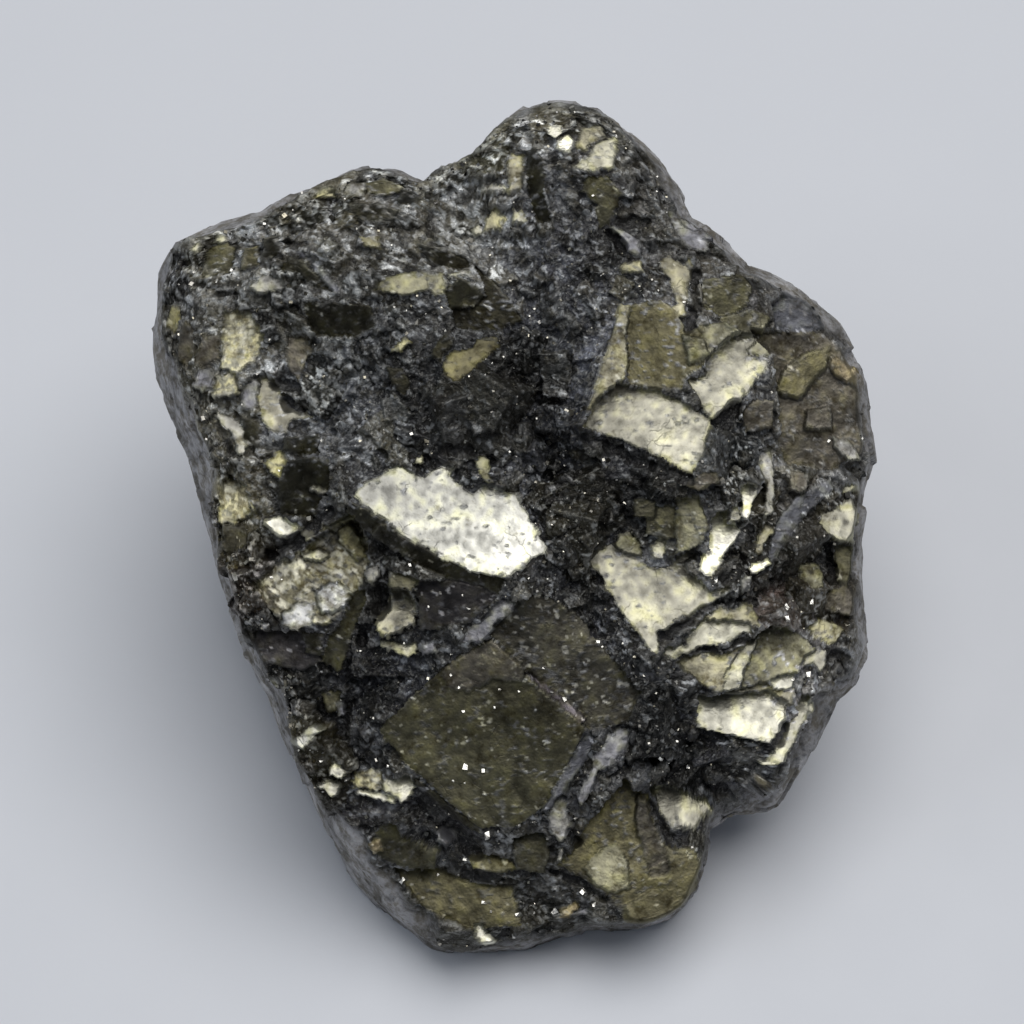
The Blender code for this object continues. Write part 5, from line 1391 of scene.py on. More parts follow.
class Surface:
    """The growing surface: how far out each ray meets it, and what each point shows."""

    def __init__(self, rays):
        points, self.face_share, self.nearest = rough_rock(rays)
        self.roots = growth_roots(points)
        offsets = points - self.roots
        self.reach = np.linalg.norm(offsets, axis=1)
        self.rays = offsets / self.reach[:, None]
        self.points = points
        self.grime = np.full(len(rays), ROCK_GRIME)
        self.flecks = np.full(len(rays), FLECK_SHARE)
        self.colour_rock()
        self.sort_front()

    def move(self, chosen, reach):
        """Put points at a new distance along their rays."""
        self.reach[chosen] = reach
        self.points[chosen] = self.roots[chosen] + self.rays[chosen] * reach[:, None]

    def around(self, u, v, radius):
        """Points of the front within a distance of a place."""
        low, high = np.searchsorted(self.columns[0], (u - radius, u + radius))
        found = self.columns[1][low:high]
        off = self.points[found, :2] - (u, v)
        return found[(off ** 2).sum(axis=1) < radius ** 2]

    def sort_front(self):
        """Keep the front's points in order of u, so neighbours are found fast."""
        front = np.flatnonzero(self.rays[:, 2] > FRONT_FROM)
        order = front[np.argsort(self.points[front, 0])]
        self.columns = (self.points[order, 0], order)

    def add_cube(self, seat, edges, axes, colour):
        """Let a small cube break through the surface; it shows its own faces."""
        found = self.around(seat[0], seat[1], 0.5 * np.linalg.norm(edges) + CUBE_MARGIN)
        found = found[self.face_share[found] > FACE_TRACE]
        if not len(found):
            return
        start = (self.roots[found] - seat) @ axes.T
        along = self.rays[found] @ axes.T
        along = np.where(np.abs(along) < 1e-6, 1e-6, along)
        first = (0.5 * edges - start) / along
        second = (-0.5 * edges - start) / along
        leave = np.maximum(first, second)
        side = leave.argmin(axis=1)
        leave = leave.min(axis=1)
        enter = np.minimum(first, second).max(axis=1)
        rises = (leave > enter) & (leave > self.reach[found])
        chosen = found[rises]
        self.move(chosen, leave[rises])
        # Painted shade: each pair of a cube's faces gets its own brightness.
        shade = np.array(CUBE_SIDE_PAINTED_SHADE)[side[rises]]
        self.tint[chosen] = np.array(colour) * shade[:, None]
        self.gloss[chosen] = CUBE_GLOSS
        self.metal[chosen] = CUBE_METAL
        self.grit[chosen] = CUBE_GRIT
        self.grime[chosen] = CUBE_GRIME

    def add_cube_fields(self):
        """Random small cubes between the named crystals."""
        draw = np.random.default_rng(SEED)
        front = np.flatnonzero((self.face_share > FACE_MOSTLY) & (self.nearest > 0.0))
        for count, smallest, largest, depth in CUBE_FIELDS:
            picked = draw.choice(front, count, replace=False)
            share = draw.uniform(size=(count, 3)) ** CUBE_EDGE_BIAS
            edges = smallest + (largest - smallest) * share
            turns = random_turns(draw, count)
            tones = np.exp(draw.normal(size=count) * CUBE_TONE_SPREAD)
            warms = draw.uniform(size=count)[:, None] * np.array(CUBE_WARMTH)
            for index, edge, axes, tone, warm in zip(picked, edges, turns, tones, warms):
                sunk = self.points[index] - self.rays[index] * depth * edge.mean()
                colour = np.clip(self.tint[index] * tone * (1.0 - warm), *CUBE_TONES)
                self.add_cube(sunk, edge, axes, colour)

    def crystal_plane_points(self, salt, ragged, plane, circle, corners):
        """Points that meet a crystal's face plane within its broken border.

        Gives their numbers, their places in the face plane, their distances from the border
        (negative inside) and how far out their rays meet the plane.
        """
        middle, normal = (np.array(part) for part in plane)
        centre, radius = circle
        found = self.around(*centre, radius)
        slope = self.rays[found] @ normal
        found, slope = found[slope > LEAST_SLOPE], slope[slope > LEAST_SLOPE]
        reach = (middle - self.roots[found]) @ normal / slope
        flat = (self.roots[found] + self.rays[found] * reach[:, None]) * (1.0, 1.0, 0.0)
        shift = np.stack([
            ragged * (smooth_noise(flat, RAGGED_SIZES[0], (salt, step, 1.0))
                      + smooth_noise(flat, RAGGED_SIZES[1], (salt, step, 5.0)))
            for step in (0.0, 9.0)], axis=1)
        distance = outside_distance(flat[:, 0] + shift[:, 0], flat[:, 1] + shift[:, 1],
                                    list(corners))
        inside = distance < 0.0
        return found[inside], flat[inside], distance[inside], reach[inside]

    def add_crystal(self, index, row):
        """Cut one named crystal face into the surface, with matrix grown over part of it."""
        _, look, tilt, stand, corners = row
        ragged, cover = LOOKS[look][3:5]
        salt = float(index)
        circle = middle_and_radius(corners, CRYSTAL_MARGIN)
        plane = crystal_plane(tilt, stand, corners)
        chosen, flat, distance, reach = self.crystal_plane_points(salt, ragged, plane, circle,
                                                                  corners)
        if not len(chosen):
            return
        broad = smooth_noise(flat, BROAD_SIZE, (salt, 7.0, 3.0))
        small = smooth_noise(flat, SMALL_SIZE, (salt, 4.0, 2.0))
        waves = WAVE_RISE * smooth_noise(flat, WAVE_SIZE, (salt, 2.0, 2.0))
        extra = SMALL_CRYSTAL_RISE * float(ramp(circle[1], *SMALL_CRYSTAL_RADIUS))
        rise = CRYSTAL_RISE * (1.0 + extra)
        reach += max(0.0, float(np.median(self.reach[chosen] - reach)) + rise)
        reach += waves + BROAD_RISE * broad + SMALL_RISE * small
        reach -= BORDER_SINK * ramp(distance, *BORDER_SINK_EASE)
        growth = GROWTH_BROAD * smooth_noise(flat, GROWTH_SIZES[0], (salt, 3.0, 8.0))
        growth += smooth_noise(flat * GROWTH_STRETCH, GROWTH_SIZES[1], (salt, 5.0, 8.0))
        growth += GROWTH_AT_BORDER * ramp(distance, -0.25, 0.0)
        level = np.quantile(growth, 1.0 - cover)
        grown = ramp(growth, level + GROWTH_EASE[0], level + GROWTH_EASE[1])
        reach += GROWTH_RISE * grown * small
        reach -= HIGH_STEP_CUT * np.clip(reach - self.reach[chosen] - HIGH_STEP, 0.0, None)
        self.move(chosen, reach)
        # Painted light: how far each point lies towards the face's lower right, where it is painted
        # lighter.
        lit_side = ((flat[:, :2] - circle[0]) * PAINTED_LIGHT_RUN).sum(axis=1) / circle[1]
        self.colour_crystal(chosen, look, flat, lit_side, (broad, small, distance, grown))

    def colour_crystal(self, chosen, look, flat, lit_side, fields):
        """Give a crystal face its metal, with worn mottling, a dark border, painted light across
        it, places of tone and of painted light and shade, and grown matrix.
        """
        colour, gloss, grime, _, _, flecks = LOOKS[look]
        broad, small, distance, grown = fields
        worn = np.clip(1.0 + 0.6 * broad + 0.6 * small, 0.5, 1.35)
        edge = ramp(distance + 0.25 * small, -0.14, 0.0)
        tint = np.array(colour) * (worn * (1.0 - 0.18 * edge))[:, None]
        tint[:, 2] *= 1.0 - 0.22 * np.clip(broad + small, -0.1, 1.0) - 0.10 * edge
        # Painted light: the face is painted lighter towards its lower right and darker towards its
        # upper left.
        tint *= (1.0 + PAINTED_LIGHT_GRADIENT * np.clip(lit_side, -1.0, 1.0))[:, None]
        # Places of the faces' own tone, and of painted light and shade.
        for *place, factor in FACE_TONE_AND_PAINTED_LIGHT:
            tint *= (factor ** bell(flat[:, 0], flat[:, 1], *place))[:, None]
        under = 1.3 * self.tint[chosen] + 0.15 * np.array(colour)
        self.tint[chosen] = tint + GROWTH_COLOUR * grown[:, None] * (under - tint)
        self.gloss[chosen] = gloss - 0.05 + 0.10 * edge + 0.08 * grown
        self.metal[chosen] = 0.95 - 0.4 * grown
        self.grit[chosen] = 0.14 + 0.20 * grown + 0.10 * edge
        self.grime[chosen] = grime
        self.flecks[chosen] = flecks + grown * (FLECKS_ON_GROWN_MATRIX - flecks)

    def colour_rock(self):
        """Tints and fleck shares of the bare matrix and walls."""
        world = to_world(self.points)
        colours = np.tile(np.array(MATRIX_COLOUR), (len(world), 1))
        wander = smooth_noise(world, 0.9, (3.0, 1.0, 7.0))
        u, v, w = self.points.T
        # Tints of the matrix; the near-black ones are painted shade in its hollows and under the
        # bright block.
        for *place, colour, strength in PATCHES:
            share = np.clip(strength * bell(u, v, *place) * (1.0 + 1.2 * wander), 0.0, 1.0)
            colours += share[:, None] * (np.array(colour) - colours)
        for *place, flecks in FLECKS:
            self.flecks += bell(u, v, *place) * (flecks - self.flecks)
        wash = np.zeros(len(world))
        for size, strength, offset in MATRIX_WASHES:
            wash += strength * smooth_noise(world, size, offset)
        colours *= np.exp(wash)[:, None] * MATRIX_LIFT
        rear = ramp(w, *REAR_EASE)[:, None]
        side = np.array(WALL_COLOUR) + rear * (np.array(REAR_COLOUR) - np.array(WALL_COLOUR))
        blotch = smooth_noise(world, 1.3, (9.0, 4.0, 2.0))
        blotch += 0.6 * smooth_noise(world, 0.4, (2.0, 8.0, 6.0))
        side = side * (1.0 + 0.55 * blotch)[:, None]
        bare = 1.0 - self.face_share
        colours += bare[:, None] * (side - colours)
        # Broad tones of the matrix, with painted light and shade, such as the painted shade along
        # the bottom rim.
        tone = np.zeros(len(world))
        for *place, factor in TONES_AND_PAINTED_LIGHT:
            tone += math.log(factor) * bell(u, v, *place)
        self.tone = np.exp(tone * ramp(self.face_share, *TONE_EASE))
        self.tint = colours * self.tone[:, None]
        self.gloss = ROCK_GLOSS + WALL_GLOSS_MORE * bare
        self.metal = ROCK_METAL * self.face_share
        self.grit = 1.0 - WALL_GRIT_LESS * bare

    def trim_rim(self):
        """Pull back what has grown out over the wall, and mark where the rim needs easing."""
        grown = np.flatnonzero((self.face_share > FACE_TRACE) & (self.rays[:, 2] > FRONT_FROM))
        off = self.points[grown, :2] - np.array(HOST_CENTRE[:2])
        angle = np.arctan2(off[:, 1], off[:, 0])
        limit = outline_radius(angle) - TRIM_SHARE * wall_band(angle)
        over = np.hypot(off[:, 0], off[:, 1]) / limit
        self.rim = ramp(self.face_share, *RIM_FROM_WALL) * ramp(self.face_share, *RIM_FROM_FACE)
        self.rim[grown] = np.maximum(self.rim[grown], ramp(over, *TRIM_EASE))
        over = np.maximum(over, 1.0)
        soft = (1.0 + TRIM_GIVE * (over - 1.0)) / over
        self.points[grown, :2] = np.array(HOST_CENTRE[:2]) + off * soft[:, None]

    def carve_pits(self):
        """Sink the cracks and holes into the surface, and paint shade into them."""
        for half_width, depth, line in PITS:
            centre, radius = middle_and_radius(line, PIT_MARGIN)
            found = self.around(*centre, radius)
            flat = self.points[found] * (1.0, 1.0, 0.0)
            size, push = PIT_WANDER
            u = flat[:, 0] + push * smooth_noise(flat, size, (4.0, 4.0, 1.0))
            v = flat[:, 1] + push * smooth_noise(flat, size, (6.0, 2.0, 1.0))
            away = np.min([segment_distance(u, v, start, end)
                           for start, end in zip(line[:-1], line[1:])], axis=0)
            share = ramp(away, half_width * PIT_SIDE[0], half_width * PIT_SIDE[1])
            self.move(found, self.reach[found] - PIT_DEPTH_SHARE * depth * share)
            # Painted shade: the holes are darkened towards the shade colour.
            darker = np.array(PIT_SHADE_COLOUR) - self.tint[found]
            self.tint[found] += PIT_SHADE_STRENGTH * share[:, None] * darker
            self.metal[found] *= 1.0 - share
            self.flecks[found] *= 1.0 - share

    def spread_flecks(self):
        """Raise thin bright flecks over matrix and dirty crystal faces; gives their height."""
        along = self.points[:, 0] * FLECK_RUN[0] + self.points[:, 1] * FLECK_RUN[1]
        across = self.points[:, 1] * FLECK_RUN[0] - self.points[:, 0] * FLECK_RUN[1]
        front = np.flatnonzero(self.face_share > 0.05)
        field = np.zeros(len(front))
        for step, (length, width, thickness, strength) in enumerate(FLECK_SIZES):
            place = np.stack((along / length, across / width, self.points[:, 2] / thickness),
                             axis=1)[front]
            field += strength * smooth_noise(place, 1.0, (3.0 * step, 7.0, 2.0))
        rank = np.empty(len(front))
        rank[np.argsort(field)] = np.linspace(0.0, 1.0, len(front))
        share = self.flecks[front] * self.face_share[front]
        over = (rank - (1.0 - share)) / np.maximum(share, 0.02)
        cover = ramp(over, 0.0, FLECK_EDGE)
        glow = FLECK_GLOW[0] + FLECK_GLOW[1] * np.clip(over, 0.0, 1.0)
        tone = 0.75 + 0.7 * smooth_noise(self.points[front], 0.7, (1.0, 1.0, 4.0))
        on_matrix = self.grit[front] > MATRIX_GRIT
        tone = tone * np.where(on_matrix, self.tone[front], 1.0) ** 0.7
        colour = np.array(FLECK_COLOUR) * (glow * tone)[:, None]
        warm = np.where(on_matrix, *FLECK_HUES)[:, None]
        hue = self.tint[front] / np.maximum(self.tint[front].mean(axis=1), 0.01)[:, None]
        colour += warm * (colour.mean(axis=1)[:, None] * hue - colour)
        below = ramp(rank, *HOLLOW_RANKS) * ramp(self.grit[front], 0.2, 0.9)
        # Painted shade in the hollows between flecks.
        self.tint[front] *= (1.0 - HOLLOW_SHADE * below)[:, None]
        self.tint[front] += cover[:, None] * (colour - self.tint[front])
        self.metal[front] += cover * (FLECK_METAL - self.metal[front])
        self.gloss[front] += cover * (FLECK_GLOSS - self.gloss[front])
        self.grime[front] *= 1.0 - 0.7 * cover
        raised = np.zeros(len(self.points))
        raised[front] = FLECK_RISE * (cover - below) * ramp(self.grit[front], 0.2, 0.6)
        return raised

    def wear_and_paint_relief_light(self, world, triangles):
        """Lighten worn ridges, as rubbed metal and painted highlight, and darken hollows, as dirt
        and painted shade, by height over the smoothed surface.
        """
        outward = surface_normals(world, triangles)
        smooth = world
        done = 0
        height = np.zeros(len(world))
        for steps, scale, strength in WEAR_AND_RELIEF_LIGHT_SCALES:
            for _ in range(steps - done):
                smooth = neighbour_mean(smooth, triangles)
            done = steps
            rise = ((world - smooth) * outward).sum(axis=1) / scale
            height += strength * np.clip(rise, -1.0, 1.0)
        rough = np.clip(self.grit, 0.15, 1.0)
        dent = DENT_DIRT_AND_SHADE_STRENGTH * np.clip(-height, 0.0, 1.0) * np.sqrt(rough)
        self.tint *= (1.0 - dent)[:, None]
        ridge = RIDGE_WEAR_AND_HIGHLIGHT_STRENGTH * rough * ramp(height, *RIDGE_HEIGHTS) * self.face_share
        colour = np.outer(np.clip(self.tone, 0.3, 2.0), RIDGE_WEAR_AND_HIGHLIGHT_COLOUR)
        self.tint += ridge[:, None] * (colour - self.tint)
        self.metal = np.maximum(self.metal, ridge)

    def roughen(self, triangles):
        """Ease the rim, add flecks and angular grains, and press what is past the box.

        Gives world positions in mm.
        """
        raised = self.spread_flecks()
        world = to_world(self.points)
        for _ in range(RIM_STEPS):
            world += RIM_RATE * self.rim[:, None] * (neighbour_mean(world, triangles) - world)
        for _ in range(RIM_STEPS // 3):
            blend = neighbour_mean(self.tint, triangles) - self.tint
            self.tint += RIM_TINT_RATE * self.rim[:, None] * blend
        outward = surface_normals(world, triangles)
        relief = raised
        for size, rise in FACE_GRAINS:
            relief += rise * self.face_share * self.grit ** 1.5 * grain_relief(world, size)
        for size, rise in WALL_GRAINS:
            relief += rise * (1.0 - self.face_share) * grain_relief(world, size)
        world = world + outward * relief[:, None]
        top = np.clip(world[:, 2] - BOX_TOP, 0.0, None)
        world[:, 2] = np.maximum(world[:, 2] - BOX_PRESS * top, 0.0)
        world[:, 1] += BOX_PRESS * np.clip(BOX_FRONT - world[:, 1], 0.0, None)
        return world


def mesh_object(name, vertices, faces, values):
    """Mesh object from vertices in mm, with its colour and single-number point values."""
    mesh = bpy.data.meshes.new(name)
    mesh.from_pydata(vertices * MM, [], faces)
    for label, numbers in values.items():
        numbers = np.asarray(numbers, dtype=float)
        if numbers.ndim == 2:
            layer = mesh.attributes.new(label, "FLOAT_COLOR", "POINT")
            padded = np.hstack((numbers, np.ones((len(numbers), 1))))
            layer.data.foreach_set("color", padded.ravel())
        else:
            layer = mesh.attributes.new(label, "FLOAT", "POINT")
            layer.data.foreach_set("value", numbers)
    mesh.update()
    built = bpy.data.objects.new(name, mesh)
    bpy.context.scene.collection.objects.link(built)
    return built


def part_of_mesh(vertices, triangles, keep):
    """Vertices and triangles of the kept triangles alone, and the old numbers of the vertices."""
    chosen = triangles[keep]
    used, numbered = np.unique(chosen, return_inverse=True)
    return vertices[used], numbered.reshape(-1, 3), used


def make_specimen():
    """The whole specimen surface as a few meshes that share their borders."""
    rays, triangles = sphere_rays()
    surface = Surface(rays)
    surface.add_cube_fields()
    for index, row in enumerate(CRYSTALS):
        surface.add_crystal(index, row)
    surface.carve_pits()
    surface.trim_rim()
    world = surface.roughen(triangles)
    surface.wear_and_paint_relief_light(world, triangles)
    middle = rays[triangles].mean(axis=1)
    front = middle[:, 2] > math.cos(face_edge_angle())
    regions = (
        ("face_upper", front & (middle[:, 1] > UPPER_FROM)),
        ("face_middle", front & (middle[:, 1] <= UPPER_FROM) & (middle[:, 1] > LOWER_UNDER)),
        ("face_lower", front & (middle[:, 1] <= LOWER_UNDER)),
        ("walls", ~front),
    )
    made = []
    for name, keep in regions:
        vertices, faces, used = part_of_mesh(world, triangles, keep)
        values = {label: getattr(surface, label)[used] for label in POINT_VALUES}
        built = mesh_object(name, vertices, faces.tolist(), values)
        built.data.shade_smooth()
        made.append(built)
    return made, surface, world


ENDS = (-0.5, 0.5)
CUBE_CORNERS = np.array([(x, y, z) for x in ENDS for y in ENDS for z in ENDS])
CUBE_FACES = np.array([
    (0, 1, 3, 2), (4, 6, 7, 5), (0, 4, 5, 1), (2, 3, 7, 6), (0, 2, 6, 4), (1, 5, 7, 3),
])


def grain_values(colour, gloss):
    """Point values of loose grains."""
    count = len(gloss)
    return {
        "tint": np.repeat(colour, 8, axis=0),
        "gloss": np.repeat(gloss, 8),
        "metal": np.ones(8 * count),
        "grit": np.full(8 * count, GRAIN_POLISH),
        "grime": np.full(8 * count, GRAIN_POLISH),
    }


def make_grains(world, surface):
    """Tiny cubes and flakes scattered over the matrix, as one piece."""
    draw = np.random.default_rng(SEED + 2)
    on_face = np.flatnonzero((surface.face_share > FACE_MOSTLY) & (surface.grit > 0.4))
    chosen = draw.choice(on_face, GRAIN_COUNT, replace=False)
    size = np.clip(GRAIN_SIZE * np.exp(0.5 * draw.normal(size=GRAIN_COUNT)), *GRAIN_SIZES)
    shape = size[:, None] * draw.uniform(0.5, 1.3, size=(GRAIN_COUNT, 3))
    corners = CUBE_CORNERS[None] * shape[:, None, :]
    corners = np.einsum("nij,nkj->nki", random_turns(draw, GRAIN_COUNT), corners)
    corners = corners + world[chosen][:, None, :]
    corners[:, :, 2] = np.maximum(corners[:, :, 2], 0.0)
    bright = draw.uniform(size=GRAIN_COUNT)
    tone = np.where(bright > GRAIN_LIMITS[1], *GRAIN_TONES[1:])
    tone = np.where(bright > GRAIN_LIMITS[0], GRAIN_TONES[0], tone)
    warm = draw.uniform(0.0, 1.0, size=GRAIN_COUNT)[:, None] * np.array(GRAIN_WARMTH)
    colour = tone[:, None] * (np.array(GRAIN_COLOUR) - warm)
    faces = (CUBE_FACES[None] + 8 * np.arange(GRAIN_COUNT)[:, None, None]).reshape(-1, 4)
    values = grain_values(colour, draw.uniform(0.2, 0.4, size=GRAIN_COUNT))
    return mesh_object("grains", corners.reshape(-1, 3), faces.tolist(), values)


def make_glints(world, surface):
    """The few large bright grains, each a small cube with one face turned up to the light."""
    draw = np.random.default_rng(SEED + 1)
    points = surface.points
    vertices, faces, tones = [], [], []
    for index, (u, v, size) in enumerate(GLINTS):
        away = np.hypot(points[:, 0] - u, points[:, 1] - v) + 10.0 * (surface.face_share < 0.3)
        near = world[np.argsort(away)[:12]]
        seat = near[np.argmax(near[:, 2])]
        spin = draw.uniform(0.0, math.pi)
        lean = draw.normal(size=2) * GLINT_LEAN
        normal = np.array((GLINT_TILT[0] + lean[0], GLINT_TILT[1] + lean[1], 0.0))
        normal[2] = math.sqrt(1.0 - normal[0] ** 2 - normal[1] ** 2)
        side = np.cross(normal, (math.cos(spin), math.sin(spin), 0.0))
        side /= np.linalg.norm(side)
        other = np.cross(normal, side)
        axes = turned(np.stack((side, other, normal))) * size * np.array(GLINT_SHAPE)[:, None]
        chipped = CUBE_CORNERS * draw.uniform(*GLINT_CHIPS, size=(8, 1))
        vertices.append(seat + chipped @ axes)
        faces.append(CUBE_FACES + 8 * index)
        tones.append(draw.uniform(*GLINT_TONES) + size)
    colour = np.array(tones)[:, None] * np.array(GLINT_COLOUR)
    values = grain_values(colour, np.full(len(tones), GLINT_GLOSS))
    return mesh_object("glints", np.concatenate(vertices), np.concatenate(faces).tolist(), values)


def worn_cube(edges, turns):
    """Finely meshed block with worn edges, turned about its middle: points, normals, triangles."""
    cube = bmesh.new()
    bmesh.ops.create_cube(cube, size=1.0)
    for vertex in cube.verts:
        vertex.co = Vector(part * edge for part, edge in zip(vertex.co, edges))
    bmesh.ops.bevel(cube, geom=list(cube.edges), offset=WALL_CUBE_BEVEL, segments=2,
                    affect="EDGES", clamp_overlap=True)
    for angle, axis in zip(turns, "XYZ"):
        turn = Matrix.Rotation(math.radians(angle), 3, axis)
        bmesh.ops.rotate(cube, verts=cube.verts, cent=(0.0, 0.0, 0.0), matrix=turn)
    bmesh.ops.triangulate(cube, faces=cube.faces)
    for _ in range(5):
        long = [edge for edge in cube.edges if edge.calc_length() > WALL_CUBE_MESH]
        bmesh.ops.subdivide_edges(cube, edges=long, cuts=1)
        bmesh.ops.triangulate(cube, faces=cube.faces)
    points = np.array([vertex.co for vertex in cube.verts])
    normals = np.array([vertex.normal for vertex in cube.verts])
    triangles = np.array([[vertex.index for vertex in face.verts] for face in cube.faces])
    cube.free()
    # Blender numbers the points differently in each run, so they are put in order of place.
    order = np.lexsort(points.T)
    triangles = np.argsort(order)[triangles]
    turned_first = (triangles.argmin(axis=1)[:, None] + np.arange(3)) % 3
    triangles = np.take_along_axis(triangles, turned_first, axis=1)
    return points[order], normals[order], triangles[np.lexsort(triangles.T)]


def make_wall_cubes():
    """Cubes grown into the rear and side walls."""
    vertices, faces, count = [], [], 0
    for _, centre, edges, turns in WALL_CUBES:
        points, normals, triangles = worn_cube(edges, turns)
        relief = smooth_noise(points + np.array(centre), 0.6, (1.0, 8.0, 2.0))
        relief = WALL_CUBE_RELIEF * relief
        vertices.append(points + normals * relief[:, None] + np.array(centre))
        faces.append(triangles + count)
        count += len(points)
    values = {
        "tint": np.tile(np.array(LOOKS["dull_gold"][0]) * WALL_CUBE_TONE, (count, 1)),
        "gloss": np.full(count, 0.42),
        "metal": np.ones(count),
        "grit": np.full(count, 0.25),
        "grime": np.full(count, 0.5),
    }
    return mesh_object("wall_cubes", np.concatenate(vertices), np.concatenate(faces).tolist(),
                       values)


class Nodes:
    """Short ways to add and join the nodes of one material."""

    def __init__(self, name):
        self.material = bpy.data.materials.new(name)
        self.material.use_nodes = True
        self.tree = self.material.node_tree
        self.shader = self.tree.nodes["Principled BSDF"]
        self.place = self.add("ShaderNodeTexCoord").outputs["Object"]

    def add(self, kind, **settings):
        node = self.tree.nodes.new(kind)
        for label, value in settings.items():
            setattr(node, label, value)
        return node

    def join(self, source, target):
        self.tree.links.new(source, target)

    def attribute(self, name, output="Color"):
        return self.add("ShaderNodeAttribute", attribute_name=name).outputs[output]

    def noise(self, size, detail=3.0, rough=0.5, distortion=0.0):
        node = self.add("ShaderNodeTexNoise")
        node.inputs["Scale"].default_value = 1.0 / (size * MM)
        node.inputs["Detail"].default_value = detail
        node.inputs["Roughness"].default_value = rough
        node.inputs["Distortion"].default_value = distortion
        self.join(self.place, node.inputs["Vector"])
        return node.outputs["Fac"]

    def cells(self, size, feature="F1", place=None):
        node = self.add("ShaderNodeTexVoronoi", feature=feature)
        node.inputs["Scale"].default_value = 1.0 / (size * MM)
        self.join(place or self.place, node.inputs["Vector"])
        return node.outputs["Distance"]

    def warped(self, size, shift):
        """Coordinates pushed about by noise of a given size."""
        noise_node = self.noise(size, 2.0).node
        node = self.add("ShaderNodeVectorMath", operation="MULTIPLY_ADD")
        self.join(noise_node.outputs["Color"], node.inputs[0])
        node.inputs[1].default_value = (shift * MM, shift * MM, shift * MM)
        self.join(self.place, node.inputs[2])
        return node.outputs["Vector"]

    def ramp(self, source, low, high, start=0.0, end=1.0):
        node = self.add("ShaderNodeMapRange", interpolation_type="SMOOTHSTEP")
        node.inputs["From Min"].default_value = low
        node.inputs["From Max"].default_value = high
        node.inputs["To Min"].default_value = start
        node.inputs["To Max"].default_value = end
        self.join(source, node.inputs["Value"])
        return node.outputs["Result"]

    def calculate(self, operation, first, second):
        node = self.add("ShaderNodeMath", operation=operation)
        for socket, value in zip(node.inputs, (first, second)):
            if isinstance(value, float):
                socket.default_value = value
            else:
                self.join(value, socket)
        return node.outputs["Value"]

    def mix(self, share, first, second, blend="MIX"):
        node = self.add("ShaderNodeMix", data_type="RGBA", blend_type=blend)
        colours = [socket for socket in node.inputs if socket.type == "RGBA"]
        sockets = (node.inputs["Factor"], *colours)
        for socket, value in zip(sockets, (share, first, second)):
            if isinstance(value, float):
                socket.default_value = value
            elif isinstance(value, tuple):
                socket.default_value = value + (1.0,)
            else:
                self.join(value, socket)
        return [output for output in node.outputs if output.type == "RGBA"][0]

    def bump(self, height, distance):
        node = self.add("ShaderNodeBump")
        node.inputs["Strength"].default_value = 1.0
        node.inputs["Distance"].default_value = distance * MM
        self.join(height, node.inputs["Height"])
        return node.outputs["Normal"]

    def finish(self, colour, roughness, normal, metallic=None):
        self.join(colour, self.shader.inputs["Base Color"])
        self.join(roughness, self.shader.inputs["Roughness"])
        self.join(normal, self.shader.inputs["Normal"])
        if metallic is not None:
            self.join(metallic, self.shader.inputs["Metallic"])
        return self.material


def pyrite_material():
    """Brassy metal on crystal faces passing into dusty granular matrix, led by point values."""
    nodes = Nodes("pyrite")
    grit = nodes.attribute("grit", "Fac")
    grime = nodes.attribute("grime", "Fac")
    broad = nodes.calculate("MULTIPLY", nodes.noise(DIRT_SIZES[0], 4.0, 0.66), 0.7)
    small = nodes.calculate("MULTIPLY", nodes.noise(DIRT_SIZES[1], 2.0, 0.6), 0.3)
    soft = nodes.calculate("ADD", broad, small)
    level = nodes.ramp(grime, 0.0, 1.0, 0.34, 0.66)
    over = nodes.calculate("SUBTRACT", soft, level)
    dirt = nodes.ramp(over, 0.10, -0.10)
    tint = nodes.attribute("tint")
    dull = nodes.mix(1.0, tint, GRIME_COLOUR, "MULTIPLY")
    colour = nodes.mix(dirt, tint, dull)
    cracks = nodes.cells(CRACK_SIZE, "DISTANCE_TO_EDGE", nodes.warped(*CRACK_BEND))
    cracks = nodes.ramp(cracks, *CRACK_WIDTH)
    worn = nodes.ramp(nodes.noise(0.80, 1.0, 0.5), 0.52, 0.66, 0.0, CRACK_STRENGTH)
    cracks = nodes.calculate("MULTIPLY", cracks, worn)
    # Painted shade in the cracks, in the holes' shade colour.
    colour = nodes.mix(cracks, colour, PIT_SHADE_COLOUR)
    pores = nodes.ramp(nodes.noise(PORE_SIZE, 3.0, 0.7), 0.54, 0.72, 0.0, PORE_STRENGTH)
    colour = nodes.mix(pores, colour, nodes.mix(1.0, colour, GRIME_COLOUR, "MULTIPLY"))
    dust = nodes.ramp(nodes.noise(DUST_SIZE, 3.0, 0.7, 1.2), 0.54, 0.66)
    dust = nodes.calculate("MULTIPLY", dust, nodes.calculate("MULTIPLY", grit, DUST_STRENGTH))
    colour = nodes.mix(dust, colour, DUST_COLOUR)
    roughness = nodes.calculate("ADD", nodes.attribute("gloss", "Fac"),
                                nodes.ramp(soft, 0.35, 0.65, 0.10, -0.06))
    metallic = nodes.calculate("SUBTRACT", nodes.attribute("metal", "Fac"), dust)
    metallic.node.use_clamp = True
    cells = nodes.calculate("MULTIPLY", nodes.cells(BUMP_SIZES[0]), grit)
    fine = nodes.calculate("MULTIPLY", nodes.noise(BUMP_SIZES[1], 2.0, 0.6),
                           nodes.ramp(grit, 0.1, 0.6, 0.12, 1.0))
    height = nodes.calculate("ADD", cells, fine)
    height = nodes.calculate("ADD", height, nodes.calculate("MULTIPLY", soft, 0.6))
    sunk = nodes.calculate("MULTIPLY", cracks, CRACK_DEPTH)
    height = nodes.calculate("SUBTRACT", height, sunk)
    normal = nodes.bump(height, BUMP_HEIGHT)
    return nodes.finish(colour, roughness, normal, metallic)


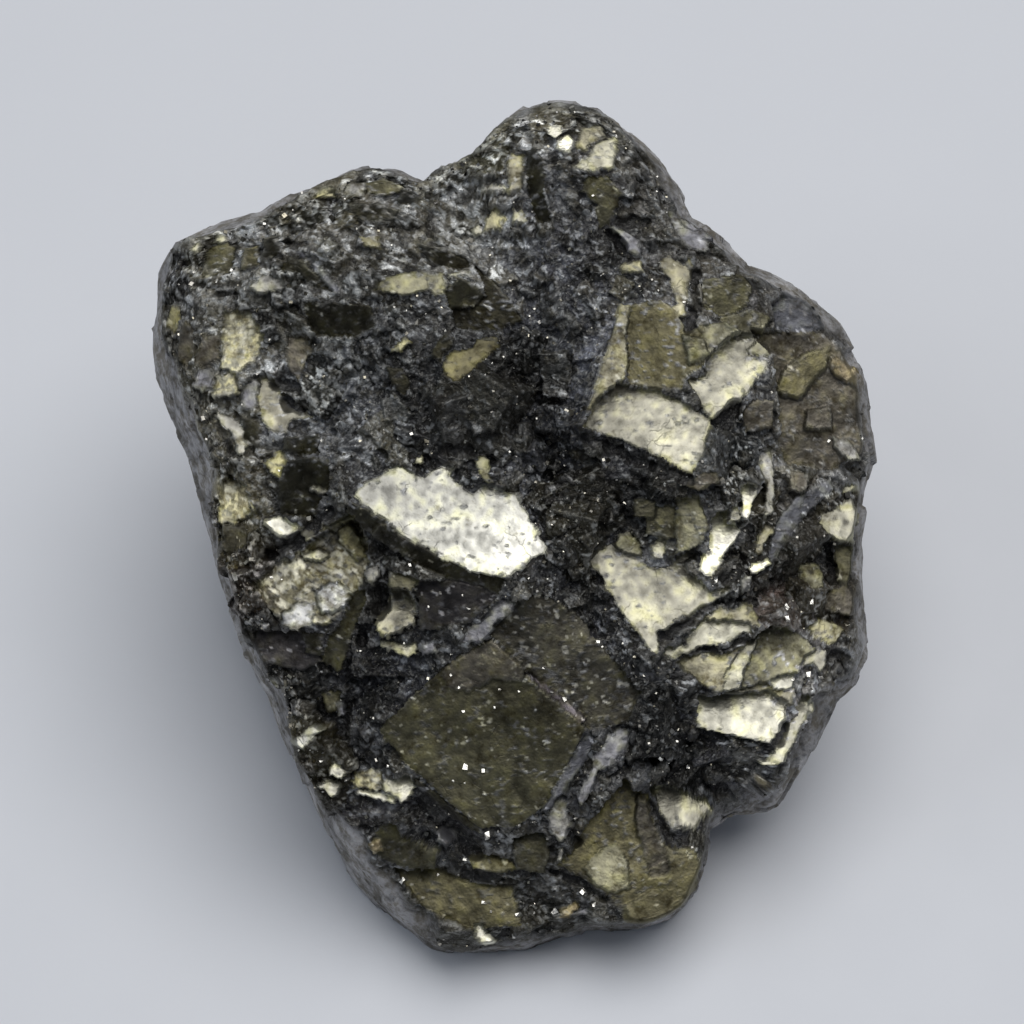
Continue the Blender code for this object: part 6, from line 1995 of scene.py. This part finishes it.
def floor_material():
    """Plain pale ground."""
    nodes = Nodes("pale_ground")
    colour = nodes.mix(nodes.noise(18.0, 3.0), *FLOOR_COLOURS)
    roughness = nodes.ramp(nodes.noise(3.0, 2.0), 0.3, 0.7, 0.55, 0.65)
    normal = nodes.bump(nodes.noise(0.6, 3.0), 0.01)
    return nodes.finish(colour, roughness, normal)


def add_light(name, direction, distance, width, power, colour, target):
    """Round soft light shining at the specimen from a direction."""
    lamp = bpy.data.lights.new(name, "AREA")
    lamp.shape = "DISK"
    lamp.size = width
    lamp.energy = power
    lamp.color = colour
    hung = bpy.data.objects.new(name, lamp)
    bpy.context.scene.collection.objects.link(hung)
    away = Vector(direction).normalized()
    hung.location = target + away * distance
    hung.rotation_euler = away.to_track_quat("Z", "Y").to_euler()


def add_camera():
    """Long lens square to the crystal-rich face."""
    lens = bpy.data.cameras.new("camera")
    lens.lens = LENS
    lens.sensor_width = SENSOR
    lens.clip_start = 0.001
    camera = bpy.data.objects.new("camera", lens)
    bpy.context.scene.collection.objects.link(camera)
    centre = Vector(to_world([(0.0, FRAME_CENTRE_RISE, 0.0)])[0]) * MM
    toward = Vector(turned([(0.0, 0.0, 1.0)])[0])
    camera.location = centre + toward * FRAME_WIDTH * MM * LENS / SENSOR
    camera.rotation_euler = toward.to_track_quat("Z", "Y").to_euler()
    bpy.context.scene.camera = camera


def add_stage():
    """Floor, lights and surroundings."""
    bpy.ops.mesh.primitive_plane_add(size=FLOOR_SIZE, location=(0.0, 0.0, -FLOOR_GAP * MM))
    ground = bpy.context.object
    ground.name = "ground"
    ground.data.materials.append(floor_material())
    target = Vector((0.0, 0.0, LIGHT_TARGET_HEIGHT * MM))
    for light in LIGHTS:
        add_light(*light, target)
    world = bpy.data.worlds.new("room")
    world.use_nodes = True
    world.node_tree.nodes["Background"].inputs["Color"].default_value = ROOM_COLOUR
    world.node_tree.nodes["Background"].inputs["Strength"].default_value = ROOM_STRENGTH
    bpy.context.scene.world = world
    bpy.context.scene.view_settings.view_transform = "Standard"


def main():
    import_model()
    rock, surface, world = make_specimen()
    grown = rock + [make_wall_cubes(), make_grains(world, surface), make_glints(world, surface)]
    pyrite = pyrite_material()
    for piece in grown:
        piece.data.materials.append(pyrite)
        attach(piece, "root")
    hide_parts("pyrite_crystal")
    add_stage()
    add_camera()


main()
